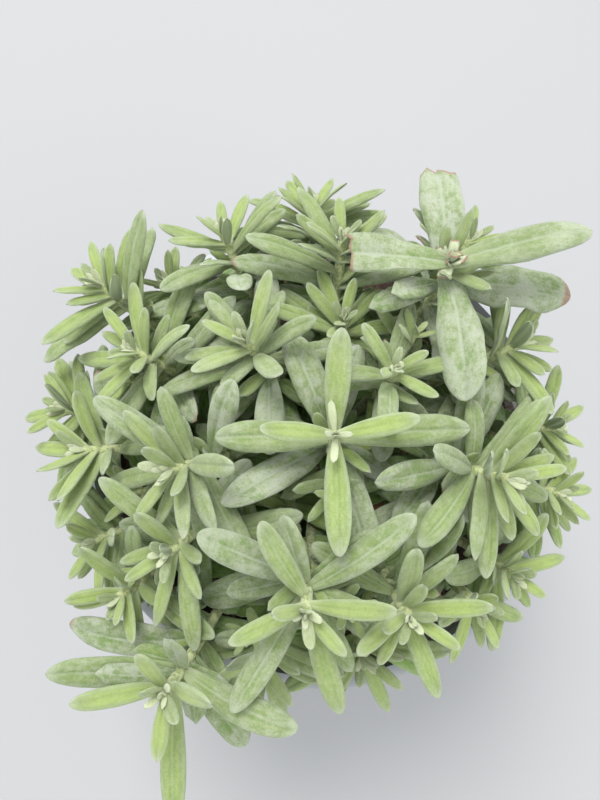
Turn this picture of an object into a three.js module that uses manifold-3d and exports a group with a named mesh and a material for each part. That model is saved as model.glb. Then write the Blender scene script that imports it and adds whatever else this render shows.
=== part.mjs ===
// A young lavender bush in a round nursery pot, in millimetres, with +Z up.
// The origin is the centre of the pot's underside, on the surface that it stands on.

import * as THREE from "three";
import { mergeVertices } from "three/addons/utils/BufferGeometryUtils.js";
import Module from "manifold-3d";

const wasm = await Module();
wasm.setup();

// Driving dimensions of the pot
const POT_HEIGHT = 105;
const RIM_RADIUS = 65;
const LIP_WIDTH = 2.8;
const LIP_HEIGHT = 2.6;
const BAND_HEIGHT = 11;
const BAND_STEP = 2.8;
const BAND_INSET = 1;
const BAND_TAPER = 0.6;
const STEP_SLOPE = 1.5;
const STEP_THICKNESS = 1;
const BASE_RADIUS = 46;
const BASE_CHAMFER = 1.3;
const WALL = 1.8;
const FLOOR = 3;
const POT_SIDES = 36;

// The ring that the underside is recessed by, with the drain holes in it, and the notches that let water out
const RAISE = 1.2;
const RAISED_FROM = 24;
const RAISED_TO = 40;
const RAISED_SLOPE = 1;
const DRAIN_HOLES = 6;
const DRAIN_RADIUS = 4;
const DRAIN_SIDES = 8;
const NOTCH_LENGTH = 12;
const NOTCH_WIDTH = 8;
const NOTCH_HEIGHT = 1;

// Driving dimensions of the soil
const SOIL_TOP = 91;
const SOIL_DOME = 1.6;
const DOME_BEND = 0.65;
const FIT_GAP = 0.3;
const HOLE_RADIUS = 2;
const HOLE_DEPTH = 12;
const HOLE_SIDES = 6;

// Driving dimensions of a shoot's stem
const STEM_RADIUS = 1.35;
const STEM_SIDES = 4;
const STEM_STEPS = 5;
const ROOT_SPREAD = 0.36;
const LEAN_PER_MM = 0.85;
const RISE_SHARE = 0.42;
const ARRIVE_SHARE = 0.36;

// Driving dimensions of a blade
const BLADE_THICKNESS = 0.9;
const BASE_HALF_WIDTH = 0.75;
const WIDEST_AT = 0.6;
const LIGHT_SEEKING = 0.75;
const STRAIGHT = 1e-6;
const TIP_THICKNESS = 0.3;
const ROOT_SHARE = 0.3;
const BLADE_STATIONS = [0, 0.4, 0.92];

// The clear space kept round each blade and stem while the leaves find their places
const CLEAR_OF_BLADE = 1.1;
const CLEAR_OF_STEM = 1.4;
const CLEAR_OF_POT = 1.5;
const SAMPLE_STEP = 1.4;
const DISC_RADIUS = 2;
const OWN_ROOT_ZONE = 5;
const TEST_FROM = 0.15;
const NEAR_MARGIN = 3;

// A leaf pair's stages of growth, from the growing tip down: blade length and width, opening from the stem
// in degrees, how far the blade arches over from root to tip in degrees, and distance under the tip
const STAGES = [
  { length: 7.5, width: 2.4, opening: 32, arch: 6, below: 0.8 },
  { length: 13, width: 3.0, opening: 40, arch: 6, below: 1.9 },
  { length: 18, width: 3.8, opening: 50, arch: 14, below: 3.4 },
  { length: 22.5, width: 4.8, opening: 60, arch: 20, below: 5.7 },
  { length: 26, width: 5.9, opening: 68, arch: 24, below: 8.7 },
  { length: 27, width: 6.8, opening: 74, arch: 26, below: 12.7 },
  { length: 27, width: 7.2, opening: 79, arch: 28, below: 17.5 },
  { length: 26, width: 7.2, opening: 83, arch: 30, below: 23.5 },
  { length: 25, width: 6.8, opening: 86, arch: 30, below: 30 },
  { length: 24, width: 6.4, opening: 88, arch: 30, below: 37 },
];

// The shoots: growing tip, leaf size against the stages above, and the plan direction in degrees of each
// leaf pair from the tip down. Some rows also give the stem's lean at its tip in degrees, the blades' extra
// breadth, and the leaves that the plant has lost, counted one by one from the tip. Two shoots start at a
// later stage: the tallest, whose first pair is well grown, and the topped one, which has lost its youngest
// leaves and leans a little towards the pot's axis.
const SHOOTS = [
  {
    name: "centre",
    tip: [2, -13, 152],
    size: 1.05,
    pairs: [178, 95, 5, 100, 32, 148, 115],
    lean: 8,
    first: 2,
    breadth: 1.1,
    lost: [8, 10, 12],
  },
  {
    name: "inner_upper_left",
    tip: [-17, 9, 148],
    size: 0.95,
    pairs: [105, 150, 62, 130, 18, 95, 35, 118],
    lean: 30,
  },
  {
    name: "upper_left_edge",
    tip: [-54, 29, 136],
    size: 1,
    pairs: [130, 84, 150, 88, 20, 168, 18, 5],
    lean: 45,
  },
  {
    name: "left_middle",
    tip: [-44, 11, 138],
    size: 0.95,
    pairs: [25, 124, 84, 175, 70, 20, 55, 120],
    lean: 40,
  },
  { name: "left_edge_high", tip: [-64, 1, 124], size: 0.9, pairs: [160, 100, 172, 135, 15, 120] },
  {
    name: "left_edge_low",
    tip: [-56, -11, 130],
    size: 1.05,
    pairs: [100, 145, 172, 122, 15, 90, 30],
    lean: 58,
  },
  { name: "left_edge_foot", tip: [-54, -31, 122], size: 0.8, pairs: [150, 60, 110, 20, 140, 80] },
  { name: "left_low", tip: [-46, -20, 122], size: 0.85, pairs: [150, 60, 110, 20, 90] },
  {
    name: "left_centre",
    tip: [-32, -19, 146],
    size: 1,
    pairs: [165, 60, 120, 20, 132, 30, 85, 44],
    lean: 48,
  },
  { name: "lower_left", tip: [-33, -35, 138], size: 0.95, pairs: [88, 40, 70, 110, 12, 55, 125], lean: 48 },
  {
    name: "lower_left_edge",
    tip: [-46, -44, 126],
    size: 0.85,
    pairs: [90, 20, 165, 70, 0, 85, 40],
    lean: 52,
  },
  {
    name: "bottom",
    tip: [-32, -62, 138],
    size: 1.15,
    pairs: [135, 92, 5, 82, 165, 98, 3],
    lean: 14,
    lost: [6, 10],
  },
  {
    name: "bottom_centre",
    tip: [-4, -47, 148],
    size: 1,
    pairs: [95, 137, 8, 112, 52, 130, 33, 60],
    lean: 30,
  },
  { name: "bottom_low", tip: [-14, -58, 122], size: 1, pairs: [60, 150, 100, 20, 130, 70, 0] },
  { name: "bottom_right", tip: [17, -48, 140], size: 0.95, pairs: [50, 160, 18, 105, 150, 82, 25], lean: 34 },
  { name: "right", tip: [38, -21, 146], size: 1, pairs: [95, 20, 145, 98, 45, 120, 60, 30], lean: 54 },
  { name: "right_edge_high", tip: [57, -4, 126], size: 0.7, pairs: [60, 150, 20, 100, 150] },
  { name: "right_edge_low", tip: [57, -20, 124], size: 0.75, pairs: [40, 130, 0, 150, 120, 60] },
  { name: "right_edge_foot", tip: [44, -39, 124], size: 0.85, pairs: [50, 140, 10, 90, 150, 120] },
  { name: "lower_right", tip: [34, -46, 130], size: 0.75, pairs: [30, 120, 70, 160, 110, 10] },
  { name: "star", tip: [15, 2, 150], size: 0.72, pairs: [97, 30, 135, 0, 62, 88, 168], lean: 5 },
  { name: "upper_middle", tip: [5, 17, 142], size: 0.85, pairs: [137, 70, 92, 0, 150, 25, 120] },
  { name: "top_middle", tip: [5, 36, 145], size: 0.9, pairs: [160, 92, 50, 120, 27, 155, 5], lean: 38 },
  { name: "top_back", tip: [-2, 52, 136], size: 0.85, pairs: [85, 62, 118, 150, 20, 105, 170], lean: 52 },
  { name: "upper_left_low", tip: [-41, 37, 122], size: 0.8, pairs: [120, 30, 80, 150, 100, 60] },
  { name: "top_left", tip: [-24, 41, 140], size: 0.85, pairs: [130, 88, 62, 150, 45, 100, 18], lean: 50 },
  { name: "top_right_back", tip: [38, 42, 136], size: 0.85, pairs: [5, 98, 140, 62, 45, 25, 80], lean: 50 },
  {
    name: "topped",
    tip: [27, 24, 156],
    size: 1.1,
    pairs: [3, 90, 180, 106, 160],
    lean: -4,
    first: 4,
    breadth: 1.35,
    lost: [4, 8],
  },
  { name: "right_upper", tip: [46, 12, 140], size: 0.9, pairs: [150, 58, 25, 100, 0, 40, 130], lean: 58 },
  { name: "centre_low", tip: [-8, -25, 127], size: 0.9, pairs: [40, 130, 80, 170, 20, 110] },
  { name: "bottom_right_low", tip: [9, -57, 119], size: 0.95, pairs: [70, 160, 110, 30, 140, 80] },
];

// Seeded draws for the small differences between leaves
const SEED = 20417;
const SEED_STEP = 977;
const LENGTH_SPREAD = 0.1;
const AZIMUTH_SPREAD = 9;
const OPENING_SPREAD = 8;
const ROLL_SPREAD = 16;

// How far the blade widths and the pair spacing follow the shoot's size, and widths a shortened blade
const WIDTH_FOLLOWS = 0.7;
const SPACING_FOLLOWS = 0.45;
const SHORT_WIDTH_FOLLOWS = 0.5;
const LEAST_OPENING = 5;
const LOWEST_LEAF_AT = 0.05;

// Ways for a leaf to find free space, from the least change to the most, in degrees
const LENGTH_TRIES = [1, 0.85, 0.7, 0.55];
const POSE_TRIES = [
  { opening: 0, azimuth: 0, arch: 0 },
  { opening: -8, azimuth: 0, arch: -6 },
  { opening: 0, azimuth: 12, arch: 0 },
  { opening: 0, azimuth: -12, arch: 0 },
  { opening: 10, azimuth: 0, arch: 8 },
  { opening: -16, azimuth: 0, arch: -10 },
  { opening: -8, azimuth: 16, arch: -4 },
  { opening: -8, azimuth: -16, arch: -4 },
  { opening: 18, azimuth: 0, arch: 12 },
  { opening: 0, azimuth: 24, arch: -12 },
  { opening: 0, azimuth: -24, arch: -12 },
  { opening: -26, azimuth: 0, arch: -6 },
  { opening: -26, azimuth: 14, arch: 10 },
  { opening: -26, azimuth: -14, arch: 10 },
  { opening: 26, azimuth: 10, arch: 0 },
  { opening: 26, azimuth: -10, arch: 0 },
];

const radians = THREE.MathUtils.degToRad;
const UPRIGHT = new THREE.Vector3(0, 0, 1);

// A scale taken over in part, by a share from 0 to 1
const partly = (share, scale) => 1 - share + share * scale;

// Materials

function finish(color, roughness) {
  return new THREE.MeshStandardMaterial({ color, roughness, metalness: 0 });
}

const potFinish = finish(0xdfe6ee, 0.45);
const soilFinish = finish(0x2b211b, 0.95);
const foliageFinish = finish(0x8fa886, 0.85);

// Solids from geometries, and back again

function toSolid(geometry) {
  geometry.deleteAttribute("normal");
  geometry.deleteAttribute("uv");
  const merged = mergeVertices(geometry, 1e-4);
  return new wasm.Manifold(
    new wasm.Mesh({
      numProp: 3,
      vertProperties: new Float32Array(merged.attributes.position.array),
      triVerts: new Uint32Array(merged.index.array),
    }),
  );
}

function toMesh(solid, name, material) {
  const mesh = solid.getMesh();
  const geometry = new THREE.BufferGeometry();
  geometry.setAttribute("position", new THREE.BufferAttribute(mesh.vertProperties, 3));
  geometry.setIndex(new THREE.BufferAttribute(mesh.triVerts, 1));
  geometry.computeVertexNormals();
  const result = new THREE.Mesh(geometry, material);
  result.name = name;
  return result;
}

// A round solid: the profile's points are [radius, height], from the axis below to the axis above
function turned(profile, sides) {
  const points = profile.map(([radius, height]) => new THREE.Vector2(radius, height));
  const geometry = new THREE.LatheGeometry(points, sides);
  geometry.rotateX(Math.PI / 2);
  return toSolid(geometry);
}

// An upright round cutter from one height to another
function cutter(x, y, from, to, radius, sides) {
  const geometry = new THREE.CylinderGeometry(radius, radius, to - from, sides);
  geometry.rotateX(Math.PI / 2);
  geometry.translate(x, y, (from + to) / 2);
  return toSolid(geometry);
}

// The pot

// The inner wall's radius under the band, at a height above the floor
function innerRadius(height) {
  const bandFrom = POT_HEIGHT - BAND_HEIGHT;
  const top = RIM_RADIUS - BAND_INSET - BAND_STEP - WALL;
  const bottom = BASE_RADIUS - WALL;
  return bottom + ((top - bottom) * (height - FLOOR)) / (bandFrom - FLOOR);
}

function makePot() {
  const bandFrom = POT_HEIGHT - BAND_HEIGHT;
  const bandRadius = RIM_RADIUS - BAND_INSET;
  const lipFrom = POT_HEIGHT - LIP_HEIGHT;
  const profile = [
    [0, 0],
    [RAISED_FROM, 0],
    [RAISED_FROM + RAISED_SLOPE, RAISE],
    [RAISED_TO - RAISED_SLOPE, RAISE],
    [RAISED_TO, 0],
    [BASE_RADIUS - BASE_CHAMFER, 0],
    [BASE_RADIUS, BASE_CHAMFER],
    [bandRadius - BAND_STEP, bandFrom],
    [bandRadius - BAND_TAPER, bandFrom + STEP_SLOPE],
    [bandRadius, lipFrom],
    [RIM_RADIUS, lipFrom],
    [RIM_RADIUS, POT_HEIGHT],
    [RIM_RADIUS - LIP_WIDTH, POT_HEIGHT],
    [bandRadius - BAND_TAPER - WALL, bandFrom + STEP_SLOPE + STEP_THICKNESS],
    [innerRadius(bandFrom), bandFrom + STEP_THICKNESS],
    [innerRadius(FLOOR), FLOOR],
    [0, FLOOR],
  ];
  let pot = turned(profile, POT_SIDES);
  const holeCircle = (RAISED_FROM + RAISED_TO) / 2;
  for (let i = 0; i < DRAIN_HOLES; i += 1) {
    const angle = (i * 2 * Math.PI) / DRAIN_HOLES;
    const x = holeCircle * Math.cos(angle);
    const y = holeCircle * Math.sin(angle);
    pot = pot.subtract(cutter(x, y, 0, 2 * FLOOR, DRAIN_RADIUS, DRAIN_SIDES));
    const notch = new THREE.BoxGeometry(NOTCH_LENGTH, NOTCH_WIDTH, 2 * NOTCH_HEIGHT);
    notch.translate((BASE_RADIUS + RAISED_TO) / 2, 0, 0);
    notch.rotateZ(angle + Math.PI / DRAIN_HOLES);
    pot = pot.subtract(toSolid(notch));
  }
  return toMesh(pot, "pot", potFinish);
}

// The soil, with a plain hole for each stem

function makeSoil(shoots) {
  const bottom = FLOOR + FIT_GAP;
  const edge = innerRadius(SOIL_TOP) - FIT_GAP;
  let soil = turned(
    [
      [0, bottom],
      [innerRadius(bottom) - FIT_GAP, bottom],
      [edge, SOIL_TOP],
      [DOME_BEND * edge, SOIL_TOP + DOME_BEND * SOIL_DOME],
      [0, SOIL_TOP + SOIL_DOME],
    ],
    POT_SIDES,
  );
  for (const shoot of shoots) {
    const { x, y } = shoot.root;
    soil = soil.subtract(
      cutter(x, y, SOIL_TOP - HOLE_DEPTH, SOIL_TOP + 2 * SOIL_DOME, HOLE_RADIUS, HOLE_SIDES),
    );
  }
  return toMesh(soil, "soil", soilFinish);
}

// The shoots' stems

// The way that a shoot's tip points: outward from the pot's axis, further over the further out it is
function tipDirection(tip, leanDegrees) {
  const radius = Math.hypot(tip.x, tip.y);
  const lean = radians(leanDegrees ?? LEAN_PER_MM * radius);
  return new THREE.Vector3(
    (tip.x / radius) * Math.sin(lean),
    (tip.y / radius) * Math.sin(lean),
    Math.cos(lean),
  );
}

// A stem rises upright out of its hole and bends over to its tip
function stemCurve(root, tip, lean) {
  const foot = new THREE.Vector3(root.x, root.y, SOIL_TOP + SOIL_DOME);
  const reach = foot.distanceTo(tip);
  const rise = foot.clone().add(new THREE.Vector3(0, 0, RISE_SHARE * reach));
  const arrive = tip.clone().addScaledVector(tipDirection(tip, lean), -ARRIVE_SHARE * reach);
  return new THREE.CubicBezierCurve3(foot, rise, arrive, tip.clone());
}

function makeStem(shoot) {
  const section = new THREE.Shape();
  for (let i = 0; i < STEM_SIDES; i += 1) {
    const angle = (i * 2 * Math.PI) / STEM_SIDES;
    const x = STEM_RADIUS * Math.cos(angle);
    const y = STEM_RADIUS * Math.sin(angle);
    if (i === 0) section.moveTo(x, y);
    else section.lineTo(x, y);
  }
  section.closePath();
  const { root, curve } = shoot;
  const foot = new THREE.Vector3(root.x, root.y, SOIL_TOP - HOLE_DEPTH + FIT_GAP);
  const whole = new THREE.CatmullRomCurve3(
    [foot, ...Array.from({ length: STEM_STEPS }, (_, i) => curve.getPointAt(i / (STEM_STEPS - 1)))],
    false,
    "centripetal",
  );
  return toSolid(
    new THREE.ExtrudeGeometry(section, { steps: STEM_STEPS + 1, extrudePath: whole, bevelEnabled: false }),
  );
}

// The leaves

// Half of a blade's width at a share of its length, as a share of the half width at its widest
function outline(share) {
  const near = share / WIDEST_AT;
  if (near <= 1) return ROOT_SHARE + (1 - ROOT_SHARE) * Math.sin((near * Math.PI) / 2);
  const past = (share - WIDEST_AT) / (1 - WIDEST_AT);
  return Math.sqrt(Math.max(0, 1 - past ** 3));
}

// A blade's place at a share of its length: it leaves the stem at its opening and arches over evenly
function bladeFrame(leaf, share) {
  const start = radians(leaf.opening);
  const arch = radians(leaf.arch) || STRAIGHT;
  const angle = start + arch * share;
  const along = leaf.length / arch;
  const outward = along * (Math.cos(start) - Math.cos(angle));
  const upward = along * (Math.sin(angle) - Math.sin(start));
  const point = leaf.foot
    .clone()
    .addScaledVector(leaf.outward, outward)
    .addScaledVector(leaf.axis, upward);
  const direction = leaf.outward
    .clone()
    .multiplyScalar(Math.sin(angle))
    .addScaledVector(leaf.axis, Math.cos(angle));
  const level = UPRIGHT.clone().cross(direction);
  const across = leaf.across
    .clone()
    .multiplyScalar(1 - LIGHT_SEEKING)
    .addScaledVector(level, LIGHT_SEEKING)
    .normalize()
    .applyAxisAngle(direction, radians(leaf.roll) * share);
  const normal = direction.clone().cross(across).normalize();
  return { point, across, normal, half: (leaf.width / 2) * outline(share) };
}

function leafFrom(shoot, spec, change, shorten) {
  const azimuth = radians(spec.azimuth + change.azimuth);
  const plan = new THREE.Vector3(Math.cos(azimuth), Math.sin(azimuth), 0);
  const outward = plan.addScaledVector(spec.axis, -plan.dot(spec.axis)).normalize();
  return {
    shoot: shoot.name,
    foot: spec.foot,
    axis: spec.axis,
    outward,
    across: spec.axis.clone().cross(outward).normalize(),
    opening: Math.max(LEAST_OPENING, spec.opening + change.opening),
    arch: spec.arch + change.arch,
    roll: spec.roll,
    length: spec.length * shorten,
    width: spec.width * partly(SHORT_WIDTH_FOLLOWS, shorten),
  };
}

// Points spread over a blade, closer together where they are tested than where they are stored
function spread(leaf, step, from) {
  const rows = Math.max(2, Math.ceil(leaf.length / step));
  const points = [];
  for (let row = 0; row <= rows; row += 1) {
    const share = from + ((1 - from) * row) / rows;
    const frame = bladeFrame(leaf, share);
    const columns = Math.max(1, Math.ceil((2 * frame.half) / step));
    for (let column = 0; column <= columns; column += 1) {
      const offset = frame.half * ((2 * column) / columns - 1);
      points.push({
        point: frame.point.clone().addScaledVector(frame.across, offset),
        normal: frame.normal,
        fromRoot: share * leaf.length,
      });
    }
  }
  return points;
}

function hitsPot(point) {
  const radius = Math.hypot(point.x, point.y);
  if (point.z > POT_HEIGHT + CLEAR_OF_POT) return false;
  if (radius > RIM_RADIUS + CLEAR_OF_POT) return false;
  if (radius > RIM_RADIUS - LIP_WIDTH - 2 * WALL - CLEAR_OF_POT) return true;
  return point.z < SOIL_TOP + SOIL_DOME + CLEAR_OF_POT;
}

// A blade is blocked where one of its points comes too near to a stem, the pot, the soil or another blade,
// each of which is held as a set of small discs. Near their roots the leaves of one shoot may touch.
function isBlocked(leaf, stems, placed) {
  const tests = spread(leaf, SAMPLE_STEP, TEST_FROM);
  const centre = bladeFrame(leaf, 0.5).point;
  if (tests.some((test) => hitsPot(test.point))) return true;
  const near = placed.filter(
    (other) => other.centre.distanceTo(centre) < (other.length + leaf.length) / 2 + NEAR_MARGIN,
  );
  for (const test of tests) {
    for (const stem of stems) {
      if (stem.shoot === leaf.shoot) continue;
      const room = STEM_RADIUS + CLEAR_OF_STEM;
      if (stem.points.some((point) => point.distanceTo(test.point) < room)) return true;
    }
    for (const other of near) {
      const own = other.shoot === leaf.shoot;
      if (own && test.fromRoot < OWN_ROOT_ZONE) continue;
      for (const disc of other.discs) {
        if (own && disc.fromRoot < OWN_ROOT_ZONE) continue;
        const gap = test.point.clone().sub(disc.point);
        const height = gap.dot(disc.normal);
        if (Math.abs(height) > CLEAR_OF_BLADE) continue;
        if (gap.lengthSq() - height * height < DISC_RADIUS ** 2) return true;
      }
    }
  }
  return false;
}

// A steady source of draws from 0 to 1
function makeDraws(seed) {
  let state = seed >>> 0;
  return () => {
    state = (state + 0x6d2b79f5) >>> 0;
    let mixed = Math.imul(state ^ (state >>> 15), state | 1) >>> 0;
    mixed = (mixed ^ (mixed + Math.imul(mixed ^ (mixed >>> 7), mixed | 61))) >>> 0;
    return ((mixed ^ (mixed >>> 14)) >>> 0) / 4294967296;
  };
}

// What each leaf would be with nothing in its way
function planLeaves(shoot, index) {
  const draw = makeDraws(SEED + SEED_STEP * index);
  const either = (most) => most * (2 * draw() - 1);
  const length = shoot.curve.getLength();
  const specs = [];
  const first = shoot.first ?? 0;
  for (let rank = 0; rank < shoot.pairs.length; rank += 1) {
    const stage = STAGES[first + rank];
    const below = stage.below - STAGES[first].below + STAGES[0].below;
    const at = Math.max(LOWEST_LEAF_AT, 1 - (below * partly(SPACING_FOLLOWS, shoot.size)) / length);
    const foot = shoot.curve.getPointAt(at);
    const axis = shoot.curve.getTangentAt(at);
    for (let side = 0; side < 2; side += 1) {
      const spec = {
        rank,
        foot,
        axis,
        azimuth: shoot.pairs[rank] + 180 * side + either(AZIMUTH_SPREAD),
        opening: stage.opening + either(OPENING_SPREAD),
        arch: stage.arch,
        roll: either(ROLL_SPREAD),
        length: stage.length * shoot.size * (1 + either(LENGTH_SPREAD)),
        width: stage.width * partly(WIDTH_FOLLOWS, shoot.size) * (shoot.breadth ?? 1),
      };
      if (!shoot.lost?.includes(2 * rank + side)) specs.push(spec);
    }
  }
  return specs;
}

// The youngest leaves of every shoot find their places first, then the older ones in the gaps under them
function placeLeaves(shoots) {
  const stems = shoots.map((shoot) => ({
    shoot: shoot.name,
    points: shoot.curve.getSpacedPoints(Math.ceil(shoot.curve.getLength() / 2)),
  }));
  const plans = shoots.map(planLeaves);
  const placed = [];
  for (let rank = 0; rank < STAGES.length; rank += 1) {
    shoots.forEach((shoot, index) => {
      for (const spec of plans[index].filter((each) => each.rank === rank)) {
        const leaf = findPlace(shoot, spec, stems, placed);
        if (leaf) placed.push(leaf);
      }
    });
  }
  return placed;
}

function findPlace(shoot, spec, stems, placed) {
  for (const shorten of LENGTH_TRIES) {
    for (const change of POSE_TRIES) {
      const leaf = leafFrom(shoot, spec, change, shorten);
      if (isBlocked(leaf, stems, placed)) continue;
      leaf.centre = bladeFrame(leaf, 0.5).point;
      leaf.discs = spread(leaf, 2 * SAMPLE_STEP, 0);
      return leaf;
    }
  }
  return null;
}

// A blade: flat beneath, with a low ridge along the top, sunk into the stem at its root
function makeBlade(leaf) {
  const positions = [];
  const push = (vector) => positions.push(vector.x, vector.y, vector.z);
  for (const share of BLADE_STATIONS) {
    const { point, across, normal, half } = bladeFrame(leaf, share);
    const reach = share === 0 ? Math.min(half, BASE_HALF_WIDTH) : half;
    push(point.clone().addScaledVector(across, reach));
    push(point.clone().addScaledVector(normal, BLADE_THICKNESS));
    push(point.clone().addScaledVector(across, -reach));
  }
  const end = bladeFrame(leaf, 1);
  push(end.point.addScaledVector(end.normal, TIP_THICKNESS));
  const index = [0, 2, 1];
  const last = BLADE_STATIONS.length - 1;
  for (let ring = 0; ring < last; ring += 1) {
    for (let side = 0; side < 3; side += 1) {
      const a = 3 * ring + side;
      const b = 3 * ring + ((side + 1) % 3);
      index.push(a, b, b + 3, a, b + 3, a + 3);
    }
  }
  for (let side = 0; side < 3; side += 1) {
    index.push(3 * last + side, 3 * last + ((side + 1) % 3), 3 * (last + 1));
  }
  const geometry = new THREE.BufferGeometry();
  geometry.setAttribute("position", new THREE.BufferAttribute(new Float32Array(positions), 3));
  geometry.setIndex(index);
  return toSolid(geometry);
}

function makeShoot(shoot, leaves) {
  let solid = makeStem(shoot);
  for (const leaf of leaves) solid = solid.add(makeBlade(leaf));
  return toMesh(solid, `shoot_${shoot.name}`, foliageFinish);
}

const shoots = SHOOTS.map((row) => {
  const tip = new THREE.Vector3(...row.tip);
  const root = new THREE.Vector2(tip.x * ROOT_SPREAD, tip.y * ROOT_SPREAD);
  return { ...row, tip, root, curve: stemCurve(root, tip, row.lean) };
});
const leaves = placeLeaves(shoots);

const plant = new THREE.Group();
plant.add(makePot());
plant.add(makeSoil(shoots));
for (const shoot of shoots) {
  plant.add(makeShoot(shoot, leaves.filter((leaf) => leaf.shoot === shoot.name)));
}

export default plant;
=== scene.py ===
"""The looks of a young lavender bush in a round nursery pot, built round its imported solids.

The rule that finds the leaves their places in the solids is worked out here again, in millimetres, so every
fine leaf lies where a plain one lies. The meshes are then made in metres.
"""

import logging
import math
from collections.abc import Iterator, Sequence
from dataclasses import dataclass, field, replace
from enum import Enum

import bpy
import numpy as np
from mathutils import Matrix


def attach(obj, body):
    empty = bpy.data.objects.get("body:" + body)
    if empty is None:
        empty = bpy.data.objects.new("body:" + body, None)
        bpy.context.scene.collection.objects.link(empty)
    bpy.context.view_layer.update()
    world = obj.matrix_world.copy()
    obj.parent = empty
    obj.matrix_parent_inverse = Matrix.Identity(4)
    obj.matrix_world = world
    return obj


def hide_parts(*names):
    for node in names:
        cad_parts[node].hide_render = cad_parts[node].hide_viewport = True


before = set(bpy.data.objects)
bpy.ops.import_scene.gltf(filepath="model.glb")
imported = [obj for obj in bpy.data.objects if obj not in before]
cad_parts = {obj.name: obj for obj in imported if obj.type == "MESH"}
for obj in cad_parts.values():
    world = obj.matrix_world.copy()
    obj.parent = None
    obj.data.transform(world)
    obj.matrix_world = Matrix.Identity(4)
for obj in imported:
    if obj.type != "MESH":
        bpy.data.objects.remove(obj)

log = logging.getLogger("lavender")

MM = 0.001
UPRIGHT = np.array([0.0, 0.0, 1.0])
TWO_PI = 2 * math.pi

# Sizes of the pot, in millimetres, as in the solids
POT_HEIGHT = 105.0
RIM_RADIUS = 65.0
LIP_WIDTH = 2.8
LIP_HEIGHT = 2.6
BAND_HEIGHT = 11.0
BAND_STEP = 2.8
BAND_INSET = 1.0
BAND_TAPER = 0.6
STEP_SLOPE = 1.5
STEP_THICKNESS = 1.0
BASE_RADIUS = 46.0
BASE_CHAMFER = 1.3
CHAMFER_MIDDLE = 0.38
WALL = 1.8
FLOOR = 3.0
RAISE = 1.2
RAISED_FROM = 24.0
RAISED_TO = 40.0
RAISED_SLOPE = 1.0
DRAIN_HOLES = 6
DRAIN_RADIUS = 4.0
NOTCH_LENGTH = 12.0
NOTCH_WIDTH = 8.0
NOTCH_HEIGHT = 1.0

# Sizes of the soil and the stems, as in the solids
SOIL_TOP = 91.0
SOIL_DOME = 1.6
TOP_SLACK = 0.01
FIT_GAP = 0.3
HOLE_DEPTH = 12.0
STEM_RADIUS = 1.35
ROOT_SPREAD = 0.36
LEAN_PER_MM = 0.85
RISE_SHARE = 0.42
ARRIVE_SHARE = 0.36
ARC_STEPS = 200
TANGENT_STEP = 1e-4

# The blades' outline and the clear space round them, as in the solids
WIDEST_AT = 0.6
LIGHT_SEEKING = 0.75
STRAIGHT = 1e-6
ROOT_SHARE = 0.3
CLEAR_OF_BLADE = 1.1
CLEAR_OF_STEM = 1.4
CLEAR_OF_POT = 1.5
SAMPLE_STEP = 1.4
DISC_RADIUS = 2.0
OWN_ROOT_ZONE = 5.0
TEST_FROM = 0.15
NEAR_MARGIN = 3.0
SEED = 20417
SEED_STEP = 977
LENGTH_SPREAD = 0.1
AZIMUTH_SPREAD = 9.0
OPENING_SPREAD = 8.0
ROLL_SPREAD = 16.0
WIDTH_FOLLOWS = 0.7
SPACING_FOLLOWS = 0.45
SHORT_WIDTH_FOLLOWS = 0.5
LEAST_OPENING = 5.0
LOWEST_LEAF_AT = 0.05
LENGTH_TRIES = (1.0, 0.85, 0.7, 0.55)

# How the finished blades taper to their tips
TIP_BEND = (2.6, 3.0)
TIP_ROUND = 0.55

# The slim leaves between a rosette's pairs: their directions, their size and how far under the pair they grow
BETWEEN_TURNS = (52, 128, 232, 308)
BETWEEN_SIZES = (0.72, 0.92)
BETWEEN_BELOW = 0.8

# The leaves in the axils: the first stage that has them, and where they grow beside the older leaf
AXILS_FROM = 5
AXIL_TURNS = (-30, 32)
AXIL_OUT = 0.6
AXIL_UP = 0.8

# The side twigs: where they grow, their heading against the foot's, their reach and rise, and their leaves
TWIGS_AT = (0.3, 0.45, 0.6, 0.72)
TWIG_HEADINGS = (-1.9, 1.9)
TWIG_REACHES = (12, 20)
TWIG_RISES = (0.25, 0.9)
TWIG_HANDLES = (0.4, 0.35)
TWIG_ARRIVES = 0.5
TWIG_SIZES = (0.42, 0.6)
TWIG_PAIRS = 5
TWIG_SPACING = 1.1
TWIG_BARE = 0.3
TWIG_WIDTH_FOLLOWS = 0.75
TWIG_LEAVES = 7

# The short old leaves up the stems: the bare top, their spacing, and how many of the lowest may be dead
SKIRT_BELOW = 9.0
SKIRT_STEP = 1.7
SKIRT_DEAD = 3

# Where the tip's smallest leaves grow, and the directions of the scraps where the tip is lost
APEX_AT = 0.98
SCRAP_TURNS = range(0, 360, 40)

# Changes of opening, azimuth and arch, in degrees, by which a leaf may find free space, and how many of them
# a small leaf tries
SMALL_POSES = 5
POSE_TRIES = (
    (0, 0, 0),
    (-8, 0, -6),
    (0, 12, 0),
    (0, -12, 0),
    (10, 0, 8),
    (-16, 0, -10),
    (-8, 16, -4),
    (-8, -16, -4),
    (18, 0, 12),
    (0, 24, -12),
    (0, -24, -12),
    (-26, 0, -6),
    (-26, 14, 10),
    (-26, -14, 10),
    (26, 10, 0),
    (26, -10, 0),
)


@dataclass(frozen=True)
class Stage:
    """A leaf pair's stage of growth, from the growing tip down."""

    length: float
    width: float
    opening: float
    arch: float
    below: float

    def scaled(self, size: float, follows: float) -> "Stage":
        """The stage at another size, which the width follows in part."""
        return replace(self, length=self.length * size, width=self.width * partly(follows, size))


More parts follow.
